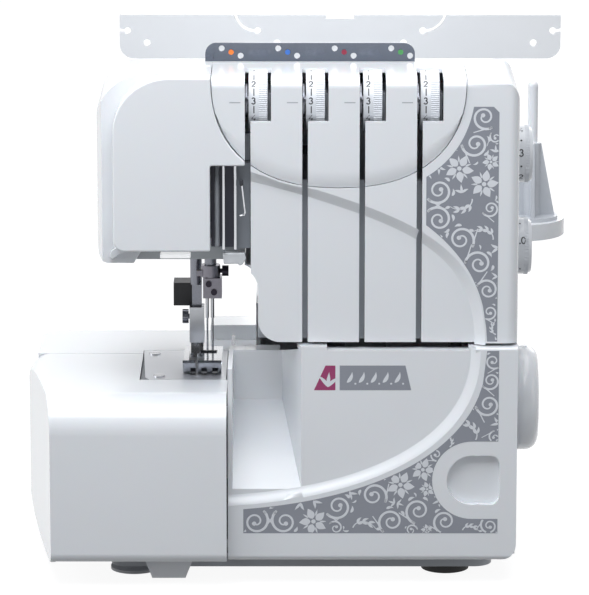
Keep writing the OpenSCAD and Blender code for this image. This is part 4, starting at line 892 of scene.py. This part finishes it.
# ---------- built pieces
class Build:
    """Collects boxes, turned shapes and prisms of the drawing into one piece."""

    def __init__(self):
        self.bm = bmesh.new()

    def vert(self, x, y, z):
        return self.bm.verts.new(at(x, y, z))

    def box(self, x0, x1, y0, y1, z0, z1):
        v = [self.vert(x, y, z) for x in (x0, x1) for y in (y0, y1) for z in (z0, z1)]
        for f in ((0, 1, 3, 2), (4, 6, 7, 5), (0, 4, 5, 1), (2, 3, 7, 6), (0, 2, 6, 4), (1, 5, 7, 3)):
            self.bm.faces.new([v[i] for i in f])

    def prism(self, loop, y0, y1):
        """An outline in X and Z, from y0 to y1."""
        near = [self.vert(x, y0, z) for x, z in loop]
        far = [self.vert(x, y1, z) for x, z in loop]
        self.bm.faces.new(near)
        self.bm.faces.new(far[::-1])
        for i in range(len(loop)):
            k = (i + 1) % len(loop)
            self.bm.faces.new([near[i], far[i], far[k], near[k]])

    def loft(self, rings):
        """A skin over rings of corners, closed at both ends."""
        steps = len(rings[0])
        for a, b in zip(rings, rings[1:]):
            for k in range(steps):
                self.bm.faces.new([a[k], a[(k + 1) % steps], b[(k + 1) % steps], b[k]])
        self.bm.faces.new(rings[0])
        self.bm.faces.new(rings[-1])

    def turned(self, centre, axis, profile, steps=48):
        """A turned shape; the profile is pairs of (along the axis, radius)."""
        along = {"X": (1, 0, 0), "Y": (0, 1, 0), "Z": (0, 0, 1)}[axis]
        one = {"X": (0, 1, 0), "Y": (1, 0, 0), "Z": (1, 0, 0)}[axis]
        two = Vector(along).cross(Vector(one))
        rings = []
        for far, radius in profile:
            ring = []
            for k in range(steps):
                turn = math.tau * k / steps
                spot = (Vector(centre) + Vector(along) * far
                        + (Vector(one) * math.cos(turn) + two * math.sin(turn)) * radius)
                ring.append(self.vert(*spot))
            rings.append(ring)
        self.loft(rings)

    def tube(self, path, r, steps=10):
        """A round wire along the points."""
        rings = []
        for i, spot in enumerate(path):
            way = (Vector(path[min(i + 1, len(path) - 1)]) - Vector(path[max(i - 1, 0)])).normalized()
            one = way.cross(Vector((0.0, 1.0, 0.0))).normalized()
            two = way.cross(one)
            rings.append([self.vert(*(Vector(spot) + (one * math.cos(math.tau * k / steps)
                                                      + two * math.sin(math.tau * k / steps)) * r))
                          for k in range(steps)])
        self.loft(rings)

    def piece(self, name, body, mat, slot, edge=0.0, smooth=40.0, stands_for=()):
        bmesh.ops.recalc_face_normals(self.bm, faces=self.bm.faces)
        for face in self.bm.faces:
            face.smooth = True
        for side in self.bm.edges:
            if len(side.link_faces) == 2 and side.calc_face_angle(0.0) > math.radians(smooth):
                side.smooth = False
        obj = new_piece(name, mesh_of(name, self.bm), body, None, stands_for)
        if edge > 0.0:
            bevel = obj.modifiers.new("edge", "BEVEL")
            bevel.width = edge * MM
            bevel.segments = 2
            bevel.limit_method = "ANGLE"
            bevel.angle_limit = math.radians(40.0)
            applied(obj)
        paint(obj, mat)


def box_piece(name, bounds, mat, slot, edge=0.0):
    """A plain block that is fixed to the machine."""
    block = Build()
    block.box(*bounds)
    block.piece(name, "root", mat, slot, edge=edge)


def drum(cx, y, z, r):
    """Places (along X, up the rim) on a drum; the middle of its front is 0."""
    def place(along, up):
        turn = up / r
        return at(cx + along, y - r * math.cos(turn), z + r * math.sin(turn))
    return place


GLYPHS = {
    "0": [bend(0.3, 0.5, 0.26, 0.46, 90, 450, 16)],
    "1": [[(0.12, 0.78), (0.34, 0.98), (0.34, 0.02)]],
    "2": [bend(0.3, 0.7, 0.25, 0.26, 170, -40, 9) + [(0.05, 0.04), (0.56, 0.04)]],
    "3": [bend(0.28, 0.74, 0.22, 0.22, 160, -90, 9), bend(0.28, 0.28, 0.26, 0.25, 90, -160, 9)],
    "4": [[(0.44, 0.02), (0.44, 0.98), (0.04, 0.3), (0.6, 0.3)]],
    "5": [[(0.52, 0.96), (0.12, 0.96), (0.09, 0.54)] + bend(0.27, 0.31, 0.27, 0.28, 125, -160, 9)],
    "6": [bend(0.3, 0.3, 0.25, 0.27, 0, 360, 14), bend(0.52, 0.34, 0.46, 0.62, 112, 180, 6)],
    "7": [[(0.06, 0.96), (0.56, 0.96), (0.22, 0.02)]],
    "8": [bend(0.3, 0.73, 0.21, 0.22, 0, 360, 12), bend(0.3, 0.27, 0.26, 0.25, 0, 360, 12)],
    "9": [bend(0.3, 0.7, 0.25, 0.27, 0, 360, 14), bend(0.08, 0.66, 0.46, 0.62, -68, 0, 6)],
}


def write(art, text, along, up, height, width):
    """Plain numerals, centred on a point of the surface."""
    step = height * 0.72
    left = along - step * len(text) / 2
    for sign in text:
        if sign == ".":
            art.disc(left + step * 0.35, up - height * 0.42, width * 0.75, 8)
            left += step * 0.6
            continue
        for path in GLYPHS[sign]:
            line = [(left + px * height, up + (pz - 0.5) * height) for px, pz in path]
            art.ribbon(line, [width] * len(line))
        left += step


def knurl(name, x0, x1, y, z, r, teeth, depth, body):
    """Fine ridges round a dial's rim."""
    bm = bmesh.new()
    rows = []
    for k in range(teeth * 4):
        turn = math.tau * k / (teeth * 4)
        radius = r + (depth if k % 4 in (1, 2) else 0.02)
        outer = (y - radius * math.cos(turn), z + radius * math.sin(turn))
        inner = (y - (r - 0.1) * math.cos(turn), z + (r - 0.1) * math.sin(turn))
        rows.append([bm.verts.new(at(*spot)) for spot in ((x0, *outer), (x1, *outer),
                                                          (x1, *inner), (x0, *inner))])
    for a, b in zip(rows, rows[1:] + rows[:1]):
        for k in range(4):
            m = (k + 1) % 4
            bm.faces.new([a[k], a[m], b[m], b[k]])
    bmesh.ops.recalc_face_normals(bm, faces=bm.faces)
    new_piece(name, mesh_of(name, bm), body, DIAL)


# ---------- tension dials
NUMBER_START, NUMBER_STEP = 9.0, 34.0   # degrees up the rim: place of the 3, and from one to the next
NUMBER_X, NUMBER_HIGH, NUMBER_STROKE = 2.8, 3.5, 0.62
BAR_STROKE = 0.58


def tension_dial(index, slot_x):
    """Numerals and bars on the left of the rim, ridges on the right, and a grey block of painted shade in
    the gap beside them.
    """
    body = "dial_%d" % index
    ink = Print(0.0, place=drum(slot_x + 0.5, DIAL_Y, DIAL_Z, DIAL_R + 0.05))
    for number in range(10):
        up = math.radians(NUMBER_START + (3 - number) * NUMBER_STEP) * DIAL_R
        write(ink, str(number), NUMBER_X, up, NUMBER_HIGH, NUMBER_STROKE)
        if number < 9:
            middle = up - math.radians(NUMBER_STEP / 2) * DIAL_R
            ink.ribbon([(NUMBER_X, middle + 0.5 * k) for k in range(-4, 5)], [BAR_STROKE] * 9)
    ink.finish("dial_ink_%d" % index, body, LABEL_INK, "dial_plastic")
    knurl("dial_ridges_%d" % index, slot_x + 5.9, slot_x + 10.3, DIAL_Y, DIAL_Z, DIAL_R, 96, 0.34, body)
    # a grey block in the gap beside the ridges: painted shade standing for the dark gap
    box_piece("dial_gap_%d" % index, (slot_x + 10.7, slot_x + 12.2, 23.0, 36.0, 252.0, 267.0), GREY,
              "black_plastic")


for dial_index, dial_slot in enumerate(SLOTS):
    tension_dial(dial_index + 1, dial_slot)


# ---------- side dials and handwheel
# Texts and their degrees up the rim; a full stop is a round dot.
STITCH_MARKS = (("4", 67), (".", 38), ("3", 12), (".", -16), ("2", -44), ("1", -100))
DIFFERENTIAL_MARKS = (("2.0", 100), (".", 62), ("1.0", 22), (".", -44), ("0.7", -80))
MARK_HIGH = 3.9


def side_dial(node, body, z, marks):
    """A chamfered knob, with numerals near the wall and ridges near its face."""
    y, r = SIDE_DIAL_Y, SIDE_DIAL_R
    knob = Build()
    knob.turned((RIGHT_X, y, z), "X", [(-12.0, 3.0), (0.6, 3.0), (0.6, r - 0.5), (1.1, r), (6.2, r),
                                       (8.8, r - 1.0), (9.4, r - 1.7), (9.4, r - 5.0), (8.7, r - 5.6)], 72)
    knob.piece(node + "_knob", body, DIAL, "dial_plastic", stands_for=(node,))
    ink = Print(0.0, place=drum(RIGHT_X, y, z, r + 0.04))
    for text, degrees in marks:
        up = math.radians(degrees) * r
        if text == ".":
            ink.disc(3.1, up, 0.55, 10)
        else:
            write(ink, text, 3.3, up, MARK_HIGH, NUMBER_STROKE)
    ink.finish(node + "_ink", body, LABEL_INK, "dial_plastic")
    knurl(node + "_ridges", RIGHT_X + 5.4, RIGHT_X + 7.6, y, z, r - 0.12, 110, 0.3, body)


def handwheel():
    """A wheel with a rounded outer edge and a finger hollow in its face."""
    face = WHEEL_W + WHEEL_GAP
    profile = [(WHEEL_GAP, 5.0), (WHEEL_GAP, WHEEL_R - 0.8), (WHEEL_GAP + 0.8, WHEEL_R),
               (face - WHEEL_EDGE, WHEEL_R)]
    for k in range(1, 11):
        turn = math.radians(9 * k)
        profile.append((face - WHEEL_EDGE * (1.0 - math.sin(turn)),
                        WHEEL_R - WHEEL_EDGE * (1.0 - math.cos(turn))))
    profile += [(face, 15.0), (face - 0.5, 13.8), (face - 1.6, 10.0), (face - 1.8, 5.5)]
    wheel = Build()
    wheel.turned((RIGHT_X, SHAFT_Y, SHAFT_Z), "X", profile, 96)
    wheel.piece("handwheel_rim", "drive", WHITE, "white_plastic", smooth=50.0, stands_for=("handwheel",))


side_dial("stitch_length_dial", "stitch_dial", 226.0, STITCH_MARKS)
side_dial("differential_dial", "diff_dial", 175.0, DIFFERENTIAL_MARKS)
handwheel()


# ---------- marks
DIAL_MARK_Z = 264.4     # short lines beside the tension dials
GUIDE_DOTS, GUIDE_DOT_Y, GUIDE_DOT_Z = (113.8, 144.3, 174.8, 205.3), 65.6, 282.5
CHUTE_RIM_Z = 119.54


def dial_marks():
    for slot_x in SLOTS:
        line = Print(PANEL_Y - 0.06)
        line.ribbon([(slot_x - 9.6, DIAL_MARK_Z), (slot_x - 3.8, DIAL_MARK_Z)], [0.55, 0.55])
        line.finish("dial_mark_%d" % round(slot_x), "root", TICK)


def guide_marks():
    """Coloured thread marks of the guide plate."""
    inks = (THREAD_ORANGE, THREAD_BLUE, THREAD_MAROON, THREAD_GREEN)
    for index, (x, mat) in enumerate(zip(GUIDE_DOTS, inks)):
        dot = Print(GUIDE_DOT_Y)
        dot.disc(x, GUIDE_DOT_Z, 1.45, 24)
        dot.finish("guide_mark_%d" % (index + 1), "root", mat, "chrome_steel")


def chute_lines():
    """Three lines on the rim of the waste chute."""
    rim = Print(0.0, place=lambda x, y: at(x, y, CHUTE_RIM_Z))
    for x in (114.9, 121.2, 127.6):
        rim.ribbon([(x, 54.4), (x, 68.4)], [0.45, 0.45])
    rim.finish("rim_lines", "front_cover", TICK)


dial_marks()
guide_marks()
chute_lines()


# ---------- needle window
def needle_window():
    """The back with its strip and groove, between two rails; the back and the groove are thin dark sheets of
    painted shade.
    """
    # thin dark sheets: painted shade of the deep window
    box_piece("bay_shadow", (103.6, 109.2, 22.9, 23.15, BAY_LOW, BAY_TOP), BAY_PAINTED_SHADE, "dark_metal")
    box_piece("bay_strip", (105.3, 108.0, 21.0, 22.9, BAY_LOW, BAY_TOP - 1.5), TICK, "dark_metal", 0.9)
    box_piece("bay_groove_shade", (110.9, 115.9, 21.7, 21.95, BAY_LOW, BAY_TOP), BAY_PAINTED_SHADE, "dark_metal")
    for x in (109.55, 115.75):
        box_piece("bay_rail_%d" % round(x), (x, x + 1.35, 14.85, 21.9, BAY_LOW - 0.2, BAY_TOP + 0.1),
                  CHROME, "chrome_steel", 0.25)


def wire_hook():
    wire = Build()
    wire.tube([(119.8, 15.0, 220.8), (121.2, 15.0, 208.0), (121.7, 15.0, 204.4), (121.2, 15.0, 203.1),
               (118.9, 15.0, 202.6)], 0.5)
    wire.piece("wire_hook", "root", CHROME, "chrome_steel", stands_for=("thread_hook",))
    eye = Build()
    eye.turned((119.7, 14.6, 219.0), "Z", [(0.0, 0.7), (0.4, 1.0), (2.8, 1.0), (3.2, 0.6)], 16)
    eye.piece("wire_hook_eye", "root", SLOT_DARK, "black_plastic")


def under_head():
    """The lip of the face cover, the lamp's lens and the clear thread guard."""
    lip = Build()
    lip.prism([(53.0, 183.7), (75.5, 183.7), (75.5, 181.2), (58.0, 181.2), (54.5, 180.0), (50.5, 177.0),
               (48.8, 178.6), (50.0, 182.0)], 23.5, 25.9)
    lip.piece("face_lip", "root", WHITE, "white_plastic", edge=0.3)
    box_piece("lamp_lens", (76.0, 92.2, 25.4, 33.0, 177.2, 179.4), LAMP_LENS, "clear_grey_plastic", 0.4)
    guard = Build()
    guard.prism([(109.6, 181.8), (121.3, 181.8), (122.2, 178.6), (120.2, 175.6), (118.6, 174.9),
                 (117.8, 176.0), (110.2, 175.9)], 17.0, 24.0)
    guard.piece("thread_guard", "root", LENS, "clear_grey_plastic", edge=0.5)


needle_window()
# grey block behind the housing's rounded foot, beside the chute: painted shade for the shadowed hollow under
# the housing's corner
box_piece("corner_shade_block", (128.4, 150.0, 27.0, 29.0, 133.2, 142.0), GREY, "dark_metal", 0.5)
wire_hook()
under_head()


# ---------- needle plate and label
PLATE_TOP = 104.4
PLATE_SCREWS = ((70.0, 109.0), (74.0, 56.0))
LABEL_LOW, LABEL_TOP = 108.0, 121.6


def plate_screw(index, x, y):
    head = Build()
    head.turned((x, y, PLATE_TOP), "Z", [(0.0, 2.9), (0.55, 2.9), (0.75, 2.6)], 28)
    head.piece("plate_screw_%d" % index, "root", TOOL_STEEL, "chrome_steel")
    # the slot is a dark stripe drawn on the flat head: painted shade in place of a cut
    cut = Print(0.0, place=lambda across, back: at(x + across, y + back, PLATE_TOP + 0.77))
    cut.ribbon([(-2.4, 0.0), (2.4, 0.0)], [0.9, 0.9])
    cut.finish("plate_screw_slot_%d" % index, "root", BLUED_AND_SLOT_SHADE, "dark_metal")


def label():
    """A plain printed label in place of the badge: two fields and a few leaves."""
    field = Print(RECESS_FRONT - 0.04)
    field.area([(158.4, LABEL_LOW), (164.6, LABEL_TOP), (169.9, LABEL_TOP), (169.9, LABEL_LOW)])
    field.finish("label_magenta", "front_cover", MAGENTA)
    field = Print(RECESS_FRONT - 0.04)
    field.area([(172.2, LABEL_LOW), (172.2, LABEL_TOP), (207.4, LABEL_TOP), (210.6, LABEL_LOW)])
    field.finish("label_grey", "front_cover", PRINT_GREY)
    art = Print(RECESS_FRONT - 0.08)
    for k in range(5):
        art.leaf(176.0 + 6.4 * k, 112.2, 6.6, 2.0, 0.62, 0.5)
        art.disc(180.6 + 6.4 * k, 111.6, 0.55, 10)
    for k in range(3):
        art.leaf(165.9, 109.8, 8.2, 2.0, math.pi / 2 + (k - 1) * 0.5 - 0.08, (k - 1) * 0.3)
    art.finish("label_leaves", "front_cover", PRINT_PALE)


for screw_index, screw_place in enumerate(PLATE_SCREWS):
    plate_screw(screw_index + 1, *screw_place)
label()


# ---------- studio
add_camera()
add_world()
add_lights()
add_floor()
